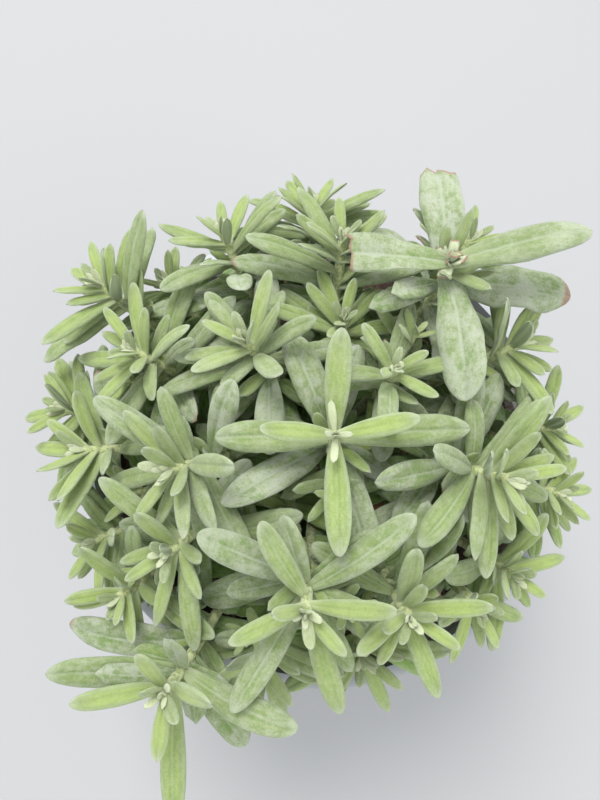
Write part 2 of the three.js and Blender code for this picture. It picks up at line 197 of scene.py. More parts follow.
STAGES = (
    Stage(7.5, 2.4, 32, 6, 0.8),
    Stage(13, 3.0, 40, 6, 1.9),
    Stage(18, 3.8, 50, 14, 3.4),
    Stage(22.5, 4.8, 60, 20, 5.7),
    Stage(26, 5.9, 68, 24, 8.7),
    Stage(27, 6.8, 74, 26, 12.7),
    Stage(27, 7.2, 79, 28, 17.5),
    Stage(26, 7.2, 83, 30, 23.5),
    Stage(25, 6.8, 86, 30, 30),
    Stage(24, 6.4, 88, 30, 37),
)

# The three pairs of smallest leaves at a growing tip
APEX_STAGES = (Stage(5.6, 1.7, 24, 0, 0), Stage(5.0, 1.4, 13, 0, 0), Stage(3.6, 1.3, 7, 0, 0))


@dataclass(frozen=True)
class ShootRow:
    """One leafy shoot: its growing tip, its leaf size and each leaf pair's plan direction in degrees."""

    name: str
    tip: tuple[float, float, float]
    size: float
    pairs: tuple[float, ...]
    lean: float | None = None
    first: int = 0
    breadth: float = 1.0
    lost: tuple[int, ...] = ()
    fans_from: int = 2
    downy: float = 0.15
    lime: float = 1.0
    mealy: float = 1.0
    bud: float = 1.0
    ragged: float = 1.0
    tipless: bool = False


SHOOTS = (
    ShootRow(
        "centre", (2, -13, 152), 1.05, (178, 95, 5, 100, 32, 148, 115),
        lean=8, first=2, breadth=1.1, lost=(8, 10, 12), fans_from=4, lime=1.15, bud=1.5,
    ),
    ShootRow(
        "inner_upper_left", (-17, 9, 148), 0.95, (105, 150, 62, 130, 18, 95, 35, 118),
        lean=30, lime=0.8, mealy=1.15,
    ),
    ShootRow(
        "upper_left_edge", (-54, 29, 136), 1, (130, 84, 150, 88, 20, 168, 18, 5),
        lean=45, lime=1.2, mealy=0.6,
    ),
    ShootRow(
        "left_middle", (-44, 11, 138), 0.95, (25, 124, 84, 175, 70, 20, 55, 120),
        lean=40, lime=1.1, mealy=0.8,
    ),
    ShootRow("left_edge_high", (-64, 1, 124), 0.9, (160, 100, 172, 135, 15, 120), lime=1.3, mealy=0.5),
    ShootRow(
        "left_edge_low", (-56, -11, 130), 1.05, (100, 145, 172, 122, 15, 90, 30),
        lean=58, lime=1.1, mealy=0.6,
    ),
    ShootRow("left_edge_foot", (-54, -31, 122), 0.8, (150, 60, 110, 20, 140, 80), lime=0.9, mealy=0.8),
    ShootRow("left_low", (-46, -20, 122), 0.85, (150, 60, 110, 20, 90), lime=0.8),
    ShootRow(
        "left_centre", (-32, -19, 146), 1, (165, 60, 120, 20, 132, 30, 85, 44),
        lean=48, downy=0.4, lime=0.6, mealy=1.1,
    ),
    ShootRow("lower_left", (-33, -35, 138), 0.95, (88, 40, 70, 110, 12, 55, 125), lean=48, lime=0.9),
    ShootRow(
        "lower_left_edge", (-46, -44, 126), 0.85, (90, 20, 165, 70, 0, 85, 40),
        lean=52, lime=1.4, mealy=0.5,
    ),
    ShootRow(
        "bottom", (-32, -62, 138), 1.15, (135, 92, 5, 82, 165, 98, 3),
        lean=14, lost=(6, 10), fans_from=6, lime=0.9, mealy=0.9,
    ),
    ShootRow(
        "bottom_centre", (-4, -47, 148), 1, (95, 137, 8, 112, 52, 130, 33, 60),
        lean=30, fans_from=4, downy=0.35, lime=0.85, mealy=0.9,
    ),
    ShootRow("bottom_low", (-14, -58, 122), 1, (60, 150, 100, 20, 130, 70, 0), lime=0.6, mealy=1.2),
    ShootRow(
        "bottom_right", (17, -48, 140), 0.95, (50, 160, 18, 105, 150, 82, 25),
        lean=34, lime=1.15, mealy=0.7,
    ),
    ShootRow("right", (38, -21, 146), 1, (95, 20, 145, 98, 45, 120, 60, 30), lean=54, lime=1.1, mealy=0.8),
    ShootRow("right_edge_high", (57, -4, 126), 0.7, (60, 150, 20, 100, 150), lime=1.2, mealy=0.5),
    ShootRow("right_edge_low", (57, -20, 124), 0.75, (40, 130, 0, 150, 120, 60), lime=1.3, mealy=0.4),
    ShootRow("right_edge_foot", (44, -39, 124), 0.85, (50, 140, 10, 90, 150, 120), lime=1.3, mealy=0.4),
    ShootRow("lower_right", (34, -46, 130), 0.75, (30, 120, 70, 160, 110, 10), lime=1.1, mealy=0.7),
    ShootRow(
        "star", (15, 2, 150), 0.72, (97, 30, 135, 0, 62, 88, 168),
        lean=5, fans_from=4, downy=0.35, lime=0.7, mealy=0.9,
    ),
    ShootRow("upper_middle", (5, 17, 142), 0.85, (137, 70, 92, 0, 150, 25, 120), lime=1.3, mealy=0.7),
    ShootRow("top_middle", (5, 36, 145), 0.9, (160, 92, 50, 120, 27, 155, 5), lean=38, lime=1.0, mealy=0.8),
    ShootRow("top_back", (-2, 52, 136), 0.85, (85, 62, 118, 150, 20, 105, 170), lean=52, lime=1.0, mealy=0.7),
    ShootRow("upper_left_low", (-41, 37, 122), 0.8, (120, 30, 80, 150, 100, 60), lime=0.7, mealy=1.1),
    ShootRow("top_left", (-24, 41, 140), 0.85, (130, 88, 62, 150, 45, 100, 18), lean=50, lime=1.0, mealy=0.9),
    ShootRow(
        "top_right_back", (38, 42, 136), 0.85, (5, 98, 140, 62, 45, 25, 80),
        lean=50, lime=1.6, mealy=0.4,
    ),
    ShootRow(
        "topped", (27, 24, 156), 1.1, (3, 90, 180, 106, 160),
        lean=-4, first=4, breadth=1.35, lost=(4, 8), fans_from=9, lime=0.35, mealy=1.4,
        ragged=2.4, tipless=True,
    ),
    ShootRow("right_upper", (46, 12, 140), 0.9, (150, 58, 25, 100, 0, 40, 130), lean=58, lime=1.1, mealy=0.7),
    ShootRow("centre_low", (-8, -25, 127), 0.9, (40, 130, 80, 170, 20, 110), lime=0.8, mealy=0.7),
    ShootRow("bottom_right_low", (9, -57, 119), 0.95, (70, 160, 110, 30, 140, 80), lime=0.6, mealy=0.9),
)


class LeafKind(Enum):
    """What a leaf is on its shoot."""

    BLADE = "blade"
    APEX = "apex"
    AXIL = "axil"
    SKIRT = "skirt"
    TWIG = "twig"
    BETWEEN = "between"


class Wear(Enum):
    """What has happened to a leaf."""

    NONE = "none"
    TORN = "torn"
    BROWN_TIP = "brown_tip"
    CURLED = "curled"
    WITHERED = "withered"


# The marked leaves, by shoot, rank from the tip down, and side
MARKED: dict[tuple[str, int, int], Wear] = {
    ("topped", 1, 0): Wear.TORN,
    ("topped", 0, 1): Wear.CURLED,
    ("topped", 2, 1): Wear.BROWN_TIP,
}

# How much of a torn leaf's length is left
TORN_SHARE = {Wear.TORN: 0.86, Wear.CURLED: 0.78}

# The share of the older leaves with a small dry tip
BROWN_SHARE = 0.12

# Where dead leaves show between the living ones, in millimetres
DEAD_SPOTS = ((7, 2, 128), (20, 5, 128), (-3, -27, 128), (12, -20, 128), (24, -43, 120))


def partly(share: float, scale: float) -> float:
    """A scale taken over in part, by a share from 0 to 1."""
    return 1 - share + share * scale


def crossed(first: np.ndarray, second: np.ndarray) -> np.ndarray:
    """The cross products of two rows of vectors.

    Args:
        first: The vectors on the left.
        second: Those on the right.

    Returns:
        One vector for each pair.
    """
    a, b, c = first[..., 0], first[..., 1], first[..., 2]
    d, e, f = second[..., 0], second[..., 1], second[..., 2]
    return np.stack([b * f - c * e, c * d - a * f, a * e - b * d], axis=-1)


def unit(vectors: np.ndarray) -> np.ndarray:
    """Vectors, one or a row of them, brought to length 1."""
    return vectors / np.sqrt(np.sum(vectors * vectors, axis=-1, keepdims=True))


def outline(share: np.ndarray) -> np.ndarray:
    """Half of a blade's width along its length, against its half width at the widest.

    Args:
        share: Places along the blade, from 0 at the root to 1 at the tip.

    Returns:
        The half widths, from 0 to 1.
    """
    share = np.asarray(share, float)
    near = ROOT_SHARE + (1 - ROOT_SHARE) * np.sin(np.minimum(share / WIDEST_AT, 1) * math.pi / 2)
    past = np.maximum(share - WIDEST_AT, 0) / (1 - WIDEST_AT)
    return np.where(share <= WIDEST_AT, near, np.sqrt(np.maximum(0, 1 - past**3)))


def fine_outline(share: np.ndarray, age: float) -> np.ndarray:
    """Half of a finished blade's width along its length: as the plain one's, with a more tapering tip.

    Args:
        share: Places along the blade, from 0 at the root to 1 at the tip.
        age: The blade's age from 0 to 1; an old tip is blunter.

    Returns:
        The half widths, from 0 to 1.
    """
    past = np.maximum(share - WIDEST_AT, 0) / (1 - WIDEST_AT)
    bend = TIP_BEND[0] * (1 - age) + TIP_BEND[1] * age
    return np.where(share <= WIDEST_AT, outline(share), np.maximum(0, 1 - past**bend) ** TIP_ROUND)


def steady_draws(seed: int) -> Iterator[float]:
    """A steady source of draws from 0 to 1, the same as the solids' own.

    Args:
        seed: A whole number that fixes the draws.

    Yields:
        The next draw.
    """
    word = 0xFFFFFFFF
    state = seed & word
    while True:
        state = (state + 0x6D2B79F5) & word
        mixed = ((state ^ (state >> 15)) * (state | 1)) & word
        mixed = (mixed ^ (mixed + (mixed ^ (mixed >> 7)) * (mixed | 61))) & word
        yield (mixed ^ (mixed >> 14)) / (word + 1)


@dataclass
class StemCurve:
    """A cubic curve from a stem's foot to its tip, measured along its length."""

    ends: np.ndarray
    places: np.ndarray = field(init=False)
    run: np.ndarray = field(init=False)

    def __post_init__(self) -> None:
        """Measures the curve in short straight steps."""
        self.places = np.linspace(0, 1, ARC_STEPS + 1)
        steps = np.diff(self.raw(self.places), axis=0)
        self.run = np.concatenate([[0], np.cumsum(np.linalg.norm(steps, axis=1))])

    def raw(self, t: np.ndarray) -> np.ndarray:
        """Points at values of the curve's own parameter.

        Args:
            t: The values, from 0 to 1.

        Returns:
            The points.
        """
        t = np.asarray(t, float)[..., None]
        a, b, c, d = self.ends
        return (1 - t) ** 3 * a + 3 * (1 - t) ** 2 * t * b + 3 * (1 - t) * t**2 * c + t**3 * d

    @property
    def length(self) -> float:
        """The curve's length."""
        return float(self.run[-1])

    def parameter(self, share: np.ndarray) -> np.ndarray:
        """The curve's own parameter at shares of its length."""
        return np.interp(np.asarray(share, float) * self.length, self.run, self.places)

    def point(self, share: np.ndarray) -> np.ndarray:
        """Points at shares of the length."""
        return self.raw(self.parameter(share))

    def tangent(self, share: np.ndarray) -> np.ndarray:
        """Directions at shares of the length.

        Args:
            share: The shares, from 0 to 1.

        Returns:
            The directions, each of length 1.
        """
        t = self.parameter(share)
        ahead = self.raw(np.minimum(1, t + TANGENT_STEP))
        return unit(ahead - self.raw(np.maximum(0, t - TANGENT_STEP)))


def stem_curve(row: ShootRow) -> StemCurve:
    """The way that a shoot's stem rises out of the soil and bends over to its tip.

    Args:
        row: The shoot.

    Returns:
        The curve of the stem's middle line, in millimetres.
    """
    tip = np.array(row.tip, float)
    radius = math.hypot(tip[0], tip[1])
    lean = math.radians(LEAN_PER_MM * radius if row.lean is None else row.lean)
    way = np.array([tip[0] / radius * math.sin(lean), tip[1] / radius * math.sin(lean), math.cos(lean)])
    foot = np.array([tip[0] * ROOT_SPREAD, tip[1] * ROOT_SPREAD, SOIL_TOP + SOIL_DOME])
    reach = float(np.linalg.norm(foot - tip))
    rise = foot + RISE_SHARE * reach * UPRIGHT
    return StemCurve(np.array([foot, rise, tip - ARRIVE_SHARE * reach * way, tip]))


def side_twig(foot: np.ndarray, axis: np.ndarray, draws: np.random.Generator) -> StemCurve:
    """A short twig that grows out of a stem and turns up.

    Args:
        foot: The point that it grows from.
        axis: The stem's direction there.
        draws: The source of draws.

    Returns:
        The curve of the twig's middle line, in millimetres.
    """
    heading = math.atan2(foot[1], foot[0]) + draws.uniform(*TWIG_HEADINGS)
    plan = np.array([math.cos(heading), math.sin(heading), 0.0])
    reach = draws.uniform(*TWIG_REACHES)
    tip = foot + reach * unit(plan + draws.uniform(*TWIG_RISES) * UPRIGHT)
    way = unit(plan * TWIG_ARRIVES + UPRIGHT)
    leave, arrive = TWIG_HANDLES[0] * reach, TWIG_HANDLES[1] * reach
    return StemCurve(np.array([foot, foot + leave * unit(plan + axis), tip - arrive * way, tip]))


@dataclass
class Leaf:
    """A leaf's place and size, in millimetres and degrees."""

    shoot: int
    rank: int
    side: int
    foot: np.ndarray
    axis: np.ndarray
    azimuth: float
    opening: float
    arch: float
    roll: float
    length: float
    width: float
    kind: LeafKind = LeafKind.BLADE
    wear: Wear = Wear.NONE
    outward: np.ndarray = field(init=False)
    across: np.ndarray = field(init=False)

    def __post_init__(self) -> None:
        """Works out the leaf's directions from its azimuth."""
        angle = math.radians(self.azimuth)
        plan = np.array([math.cos(angle), math.sin(angle), 0.0])
        self.outward = unit(plan - self.axis * (plan @ self.axis))
        self.across = unit(crossed(self.axis, self.outward))

    def changed(self, change: tuple[int, int, int], shorten: float) -> "Leaf":
        """The leaf after a change of pose and length.

        Args:
            change: What is added to its opening, azimuth and arch.
            shorten: The share of its length that is kept.

        Returns:
            The changed leaf.
        """
        return Leaf(
            self.shoot,
            self.rank,
            self.side,
            self.foot,
            self.axis,
            self.azimuth + change[1],
            max(LEAST_OPENING, self.opening + change[0]),
            self.arch + change[2],
            self.roll,
            self.length * shorten,
            self.width * partly(SHORT_WIDTH_FOLLOWS, shorten),
            self.kind,
            self.wear,
        )

    def frames(self, share: np.ndarray) -> tuple[np.ndarray, np.ndarray, np.ndarray, np.ndarray]:
        """The blade's place at shares of its length.

        Args:
            share: Places along the blade, from 0 at the root to 1 at the tip.

        Returns:
            Points of the middle line, directions across it, directions off the blade's face, and half widths.
        """
        share = np.atleast_1d(np.asarray(share, float))
        start = math.radians(self.opening)
        arch = math.radians(self.arch) or STRAIGHT
        angle = start + arch * share
        along = self.length / arch
        out = along * (math.cos(start) - np.cos(angle))
        up = along * (np.sin(angle) - math.sin(start))
        point = self.foot + out[:, None] * self.outward + up[:, None] * self.axis
        way = np.sin(angle)[:, None] * self.outward + np.cos(angle)[:, None] * self.axis
        level = crossed(UPRIGHT, way)
        across = unit((1 - LIGHT_SEEKING) * self.across + LIGHT_SEEKING * level)
        turn = (math.radians(self.roll) * share)[:, None]
        dot = np.sum(way * across, axis=1, keepdims=True)
        across = across * np.cos(turn) + crossed(way, across) * np.sin(turn) + way * dot * (1 - np.cos(turn))
        return point, across, unit(crossed(way, across)), self.width / 2 * outline(share)

    def spread(self, step: float, start: float) -> tuple[np.ndarray, np.ndarray, np.ndarray]:
        """Points spread over the blade.

        Args:
            step: The distance between them.
            start: The share of the length where they begin.

        Returns:
            The points, the directions off the blade's face there, and the distances from the root.
        """
        rows = max(2, math.ceil(self.length / step))
        shares = start + (1 - start) * np.arange(rows + 1) / rows
        point, across, normal, half = self.frames(shares)
        columns = np.maximum(1, np.ceil(2 * half / step)).astype(int)
        row = np.repeat(np.arange(rows + 1), columns + 1)
        column = np.arange(len(row)) - np.repeat(np.cumsum(columns + 1) - columns - 1, columns + 1)
        offsets = half[row] * (2 * column / columns[row] - 1)
        return point[row] + offsets[:, None] * across[row], normal[row], shares[row] * self.length


Spread = tuple[float, float]

# A pose that isn't drawn, a size that isn't drawn, and the stage that leaves both to the draws
FIXED_POSE: Spread = (0.0, 0.0)
FIXED_SIZE: Spread = (1.0, 1.0)
ALL_DRAWN = Stage(1, 1, 0, 0, 0)


@dataclass(frozen=True)
class Sprout:
    """A kind of small leaf: the spreads of its draws, its pose in degrees, and the places that it tries."""

    kind: LeafKind
    azimuth: Spread
    opening: Spread
    arch: Spread
    roll: Spread
    length: Spread
    width: Spread
    lengths: tuple[float, ...] = (1.0,)
    poses: int = SMALL_POSES
    wear: Wear = Wear.NONE

    def leaf(
        self,
        place: tuple[int, int, int],
        root: tuple[np.ndarray, np.ndarray],
        azimuth: float,
        draws: np.random.Generator,
        stage: Stage = ALL_DRAWN,
    ) -> Leaf:
        """Draws a leaf of this kind.

        Args:
            place: Its shoot, rank and side.
            root: The point that it grows from, and the stem's direction there.
            azimuth: Its direction before the draw.
            draws: The source of draws.
            stage: The pose that the draws are added to, and the size that they multiply.

        Returns:
            The leaf.
        """
        turn, opening, arch, roll, length, width = (
            low if low == high else draws.uniform(low, high)
            for low, high in (self.azimuth, self.opening, self.arch, self.roll, self.length, self.width)
        )
        pose = (azimuth + turn, stage.opening + opening, stage.arch + arch, roll)
        return Leaf(*place, *root, *pose, stage.length * length, stage.width * width, self.kind, self.wear)


BETWEEN = Sprout(
    LeafKind.BETWEEN, (-16, 16), (-10, 8), (-6, 6), (-20, 20), FIXED_SIZE, FIXED_SIZE, (1.0, 0.72)
)
IN_AXIL = Sprout(
    LeafKind.AXIL, (-8, 8), (26, 52), (4, 18), (-15, 15), (7, 14), (2.2, 3.6), (1.0, 0.7)
)
ON_TWIG = Sprout(
    LeafKind.TWIG, (-10, 10), (-8, 8), FIXED_POSE, (-15, 15), (0.9, 1.1), FIXED_SIZE, (1.0, 0.8)
)
SKIRT = Sprout(
    LeafKind.SKIRT, FIXED_POSE, (55, 100), (5, 35), (-25, 25), (14, 21), (4.4, 6.2), (1.0, 0.65), poses=9
)
DEAD_SKIRT = replace(SKIRT, wear=Wear.WITHERED)
AT_TIP = Sprout(LeafKind.APEX, (-15, 15), (-6, 8), (-25, 15), FIXED_POSE, (0.85, 1.15), FIXED_SIZE)
SCRAP = Sprout(
    LeafKind.APEX, (-15, 15), (15, 75), (-50, 40), (-60, 60), (4, 8.5), (2.0, 3.4), wear=Wear.CURLED
)


class Growth:
    """Finds every leaf its place, the youngest first and the older ones in the gaps under them."""

    def __init__(self, rows: Sequence[ShootRow]) -> None:
        """Lays out the stems.

        Args:
            rows: The shoots.
        """
        self.rows = rows
        self.curves = [stem_curve(row) for row in rows]
        spaced = [c.point(np.linspace(0, 1, math.ceil(c.length / 2) + 1)) for c in self.curves]
        self.stem_points = np.concatenate(spaced)
        self.stem_owner = np.repeat(np.arange(len(rows)), [len(points) for points in spaced])
        self.leaves: list[Leaf] = []
        self.twigs: list[tuple[int, StemCurve]] = []
        self.centres = np.zeros((0, 3))
        self.lengths = np.zeros(0)
        self.discs: list[np.ndarray] = []

    def planned(self, index: int) -> list[Leaf]:
        """What each leaf of a shoot would be with nothing in its way.

        Args:
            index: The shoot's place in the table.

        Returns:
            The leaves, two for each rank.
        """
        row, curve = self.rows[index], self.curves[index]
        draws = steady_draws(SEED + SEED_STEP * index)

        def either(most: float) -> float:
            """A draw from -most to most."""
            return most * (2 * next(draws) - 1)

        leaves = []
        for rank, pair in enumerate(row.pairs):
            stage = STAGES[row.first + rank]
            at = self.pair_at(index, stage)
            foot, axis = curve.point(at), curve.tangent(at)
            for side in range(2):
                azimuth = pair + 180 * side + either(AZIMUTH_SPREAD)
                opening = stage.opening + either(OPENING_SPREAD)
                roll = either(ROLL_SPREAD)
                length = stage.length * row.size * (1 + either(LENGTH_SPREAD))
                if 2 * rank + side in row.lost:
                    continue
                width = stage.width * partly(WIDTH_FOLLOWS, row.size) * row.breadth
                wear = MARKED.get((row.name, rank, side), Wear.NONE)
                pose = (azimuth, opening, stage.arch, roll)
                leaves.append(Leaf(index, rank, side, foot, axis, *pose, length, width, wear=wear))
        return leaves

    def pair_at(self, index: int, stage: Stage, lower: float = 0.0) -> float:
        """Where a pair of leaves grows on a stem.

        Args:
            index: The shoot's place in the table.
            stage: The pair's stage.
            lower: How much further down it grows than the stage says, in millimetres.

        Returns:
            A share of the stem's length.
        """
        row = self.rows[index]
        below = stage.below - STAGES[row.first].below + STAGES[0].below + lower
        return max(LOWEST_LEAF_AT, 1 - below * partly(SPACING_FOLLOWS, row.size) / self.curves[index].length)

    def blocked(self, leaf: Leaf) -> bool:
        """Whether a leaf comes too near to the pot, the soil, a stem or a leaf that is already in place.

        Args:
            leaf: The leaf as it would lie.

        Returns:
            True where it does.
        """
        tests, _, runs = leaf.spread(SAMPLE_STEP, TEST_FROM)
        radius = np.hypot(tests[:, 0], tests[:, 1])
        low = (tests[:, 2] <= POT_HEIGHT + CLEAR_OF_POT) & (radius <= RIM_RADIUS + CLEAR_OF_POT)
        wall = radius > RIM_RADIUS - LIP_WIDTH - 2 * WALL - CLEAR_OF_POT
        if np.any(low & (wall | (tests[:, 2] < SOIL_TOP + SOIL_DOME + CLEAR_OF_POT))):
            return True
        room = STEM_RADIUS + CLEAR_OF_STEM
        least, most = tests.min(0) - room, tests.max(0) + room
        inside = np.all((self.stem_points >= least) & (self.stem_points <= most), axis=1)
        stems = self.stem_points[inside & (self.stem_owner != leaf.shoot)]
        if len(stems) and np.any(np.sum((tests[:, None] - stems[None]) ** 2, axis=2) < room**2):
            return True
        if not len(self.leaves):
            return False
        gaps = np.linalg.norm(self.centres - leaf.frames(0.5)[0][0], axis=1)
        near = np.flatnonzero(gaps < (self.lengths + leaf.length) / 2 + NEAR_MARGIN)
        if not len(near):
            return False
        discs = np.concatenate([self.discs[place] for place in near])
        discs = discs[np.all((discs[:, :3] >= least) & (discs[:, :3] <= most), axis=1)]
        own = discs[:, 7] == leaf.shoot
        free = own & (discs[:, 6] < OWN_ROOT_ZONE)
        discs, own = discs[~free], own[~free]
        if not len(discs):
            return False
        gap = tests[:, None] - discs[None, :, :3]
        height = np.einsum("ijk,jk->ij", gap, discs[:, 3:6])
        flat = np.sum(gap**2, axis=2) - height**2
        hit = (np.abs(height) <= CLEAR_OF_BLADE) & (flat < DISC_RADIUS**2)
        hit &= ~(own[None] & (runs < OWN_ROOT_ZONE)[:, None])
        return bool(np.any(hit))

    def settle(
        self, leaf: Leaf, lengths: Sequence[float] = LENGTH_TRIES, poses: int = len(POSE_TRIES)
    ) -> None:
        """Puts a leaf in the first free place among its tries, or drops it.

        Args:
            leaf: The leaf as planned.
            lengths: The shares of its length that are tried, in turn.
            poses: How many changes of pose are tried.
        """
        for shorten in lengths:
            for change in POSE_TRIES[:poses]:
                found = leaf.changed(change, shorten)
                if self.blocked(found):
                    continue
                points, normals, runs = found.spread(2 * SAMPLE_STEP, 0)
                owner = np.full(len(points), found.shoot)
                self.discs.append(np.column_stack([points, normals, runs, owner]))
                self.centres = np.vstack([self.centres, found.frames(0.5)[0]])
                self.lengths = np.append(self.lengths, found.length)
                self.leaves.append(found)
                return

    def grow(self) -> None:
        """Places the leaves that the solids have too."""
        plans = [self.planned(index) for index in range(len(self.rows))]
        for rank in range(len(STAGES)):
            for plan in plans:
                for leaf in plan:
                    if leaf.rank == rank:
                        self.settle(leaf)

    def grow_small(self) -> None:
        """Adds the small leaves that only the finished plant has, kind by kind, wherever there is room."""
        draws = np.random.default_rng(SEED)
        for grow in (self.grow_between, self.grow_axils, self.grow_twigs, self.grow_skirt):
            for index in range(len(self.rows)):
                grow(index, draws)

    def sprout(self, rule: Sprout, *terms: object) -> None:
        """Draws a small leaf, on the terms that its kind's leaf method takes, and finds it a place."""
        self.settle(rule.leaf(*terms), rule.lengths, rule.poses)

    def grow_between(self, index: int, draws: np.random.Generator) -> None:
        """Adds slim leaves between a rosette's pairs.

        Args:
            index: The shoot's place in the table.
            draws: The source of draws.
        """
        row, curve = self.rows[index], self.curves[index]
        for rank, pair in enumerate(row.pairs):
            if rank < row.fans_from:
                continue
            stage = STAGES[min(row.first + rank, len(STAGES) - 1)]
            at = self.pair_at(index, stage, BETWEEN_BELOW)
            root = (curve.point(at), curve.tangent(at))
            slim = stage.scaled(row.size * draws.uniform(*BETWEEN_SIZES), WIDTH_FOLLOWS)
            for turn in BETWEEN_TURNS:
                self.sprout(BETWEEN, (index, rank, turn // 180), root, pair + turn, draws, slim)

    def grow_axils(self, index: int, draws: np.random.Generator) -> None:
        """Adds small leaves in the axils of the older ones.

        Args:
            index: The shoot's place in the table.
            draws: The source of draws.
        """
        first = self.rows[index].first
        for leaf in [leaf for leaf in self.leaves if leaf.shoot == index and leaf.kind is LeafKind.BLADE]:
            if first + leaf.rank < AXILS_FROM:
                continue
            root = (leaf.foot + leaf.outward * AXIL_OUT + leaf.axis * AXIL_UP, leaf.axis)
            for turn in AXIL_TURNS:
                self.sprout(IN_AXIL, (index, leaf.rank, leaf.side), root, leaf.azimuth + turn, draws)

    def grow_twigs(self, index: int, draws: np.random.Generator) -> None:
        """Adds short side twigs with small leaves, wherever most of their leaves find room.

        Args:
            index: The shoot's place in the table.
            draws: The source of draws.
        """
        curve = self.curves[index]
        for at in TWIGS_AT:
            twig = side_twig(curve.point(at), curve.tangent(at), draws)
            size = draws.uniform(*TWIG_SIZES)
            start = draws.uniform(0, 180)
            before = len(self.leaves)
            for rank, stage in enumerate(STAGES[:TWIG_PAIRS]):
                share = max(TWIG_BARE, 1 - stage.below * TWIG_SPACING / twig.length)
                root = (twig.point(share), twig.tangent(share))
                small = stage.scaled(size, TWIG_WIDTH_FOLLOWS)
                for side in range(2):
                    turn = start + 90 * rank + 180 * side
                    self.sprout(ON_TWIG, (index, rank, side), root, turn, draws, small)
            if len(self.leaves) - before < TWIG_LEAVES:
                self.forget(before)
            else:
                self.twigs.append((index, twig))

    def grow_skirt(self, index: int, draws: np.random.Generator) -> None:
        """Adds the short old leaves all the way up a stem, some of the lowest of them dead.

        Args:
            index: The shoot's place in the table.
            draws: The source of draws.
        """
        curve = self.curves[index]
        for step in range(int((curve.length - SKIRT_BELOW) / SKIRT_STEP)):
            at = LOWEST_LEAF_AT + step * SKIRT_STEP / curve.length
            root = (curve.point(at), curve.tangent(at))
            turn = draws.uniform(0, 360)
            for side in range(2):
                rule = DEAD_SKIRT if step < SKIRT_DEAD and side else SKIRT
                self.sprout(rule, (index, len(STAGES) - 1, side), root, turn + 180 * side, draws)

    def wither(self) -> None:
        """Lets the added leaves that lie nearest to the dead spots die."""
        kinds = (LeafKind.SKIRT, LeafKind.AXIL, LeafKind.BETWEEN)
        added = [leaf for leaf in self.leaves if leaf.kind in kinds]
        middles = np.array([leaf.frames(0.5)[0][0] for leaf in added])
        for spot in DEAD_SPOTS:
            nearest = int(np.argmin(np.linalg.norm(middles - np.array(spot), axis=1)))
            added[nearest].wear = Wear.WITHERED

    def forget(self, count: int) -> None:
        """Takes away all leaves after the first count of them.

        Args:
            count: How many leaves stay.
        """
        self.centres, self.lengths = self.centres[:count], self.lengths[:count]
        del self.discs[count:]
        del self.leaves[count:]


# Materials


class Sock:
    """An output socket that takes part in sums, each of which adds its Math node."""

    def __init__(self, bench: "Bench", socket: bpy.types.NodeSocket) -> None:
        """Wraps a socket of a bench's nodes."""
        self.bench = bench
        self.socket = socket

    def math(self, operation: str, *values: "Sock | float") -> "Sock":
        """One Math node on this value and others."""
        return self.bench.node("ShaderNodeMath", {"operation": operation}, dict(enumerate((self, *values))))

    def __add__(self, other: "Sock | float") -> "Sock":
        """The sum."""
        return self.math("ADD", other)

    def __sub__(self, other: "Sock | float") -> "Sock":
        """The difference."""
        return self.math("SUBTRACT", other)

    def __rsub__(self, other: float) -> "Sock":
        """The difference from a number."""
        return self.bench.node("ShaderNodeMath", {"operation": "SUBTRACT"}, {0: other, 1: self})

    def __mul__(self, other: "Sock | float") -> "Sock":
        """The product."""
        return self.math("MULTIPLY", other)

    __radd__ = __add__

    def ramp(self, low: float, high: float) -> "Sock":
        """A smooth rise from 0 at low to 1 at high, or a fall where low is above high.

        Args:
            low: The value that gives 0.
            high: The value that gives 1.

        Returns:
            The share.
        """
        settings = {"interpolation_type": "SMOOTHSTEP"}
        values = {"Value": self, 1: low, 2: high, 3: 0.0, 4: 1.0}
        return self.bench.node("ShaderNodeMapRange", settings, values)


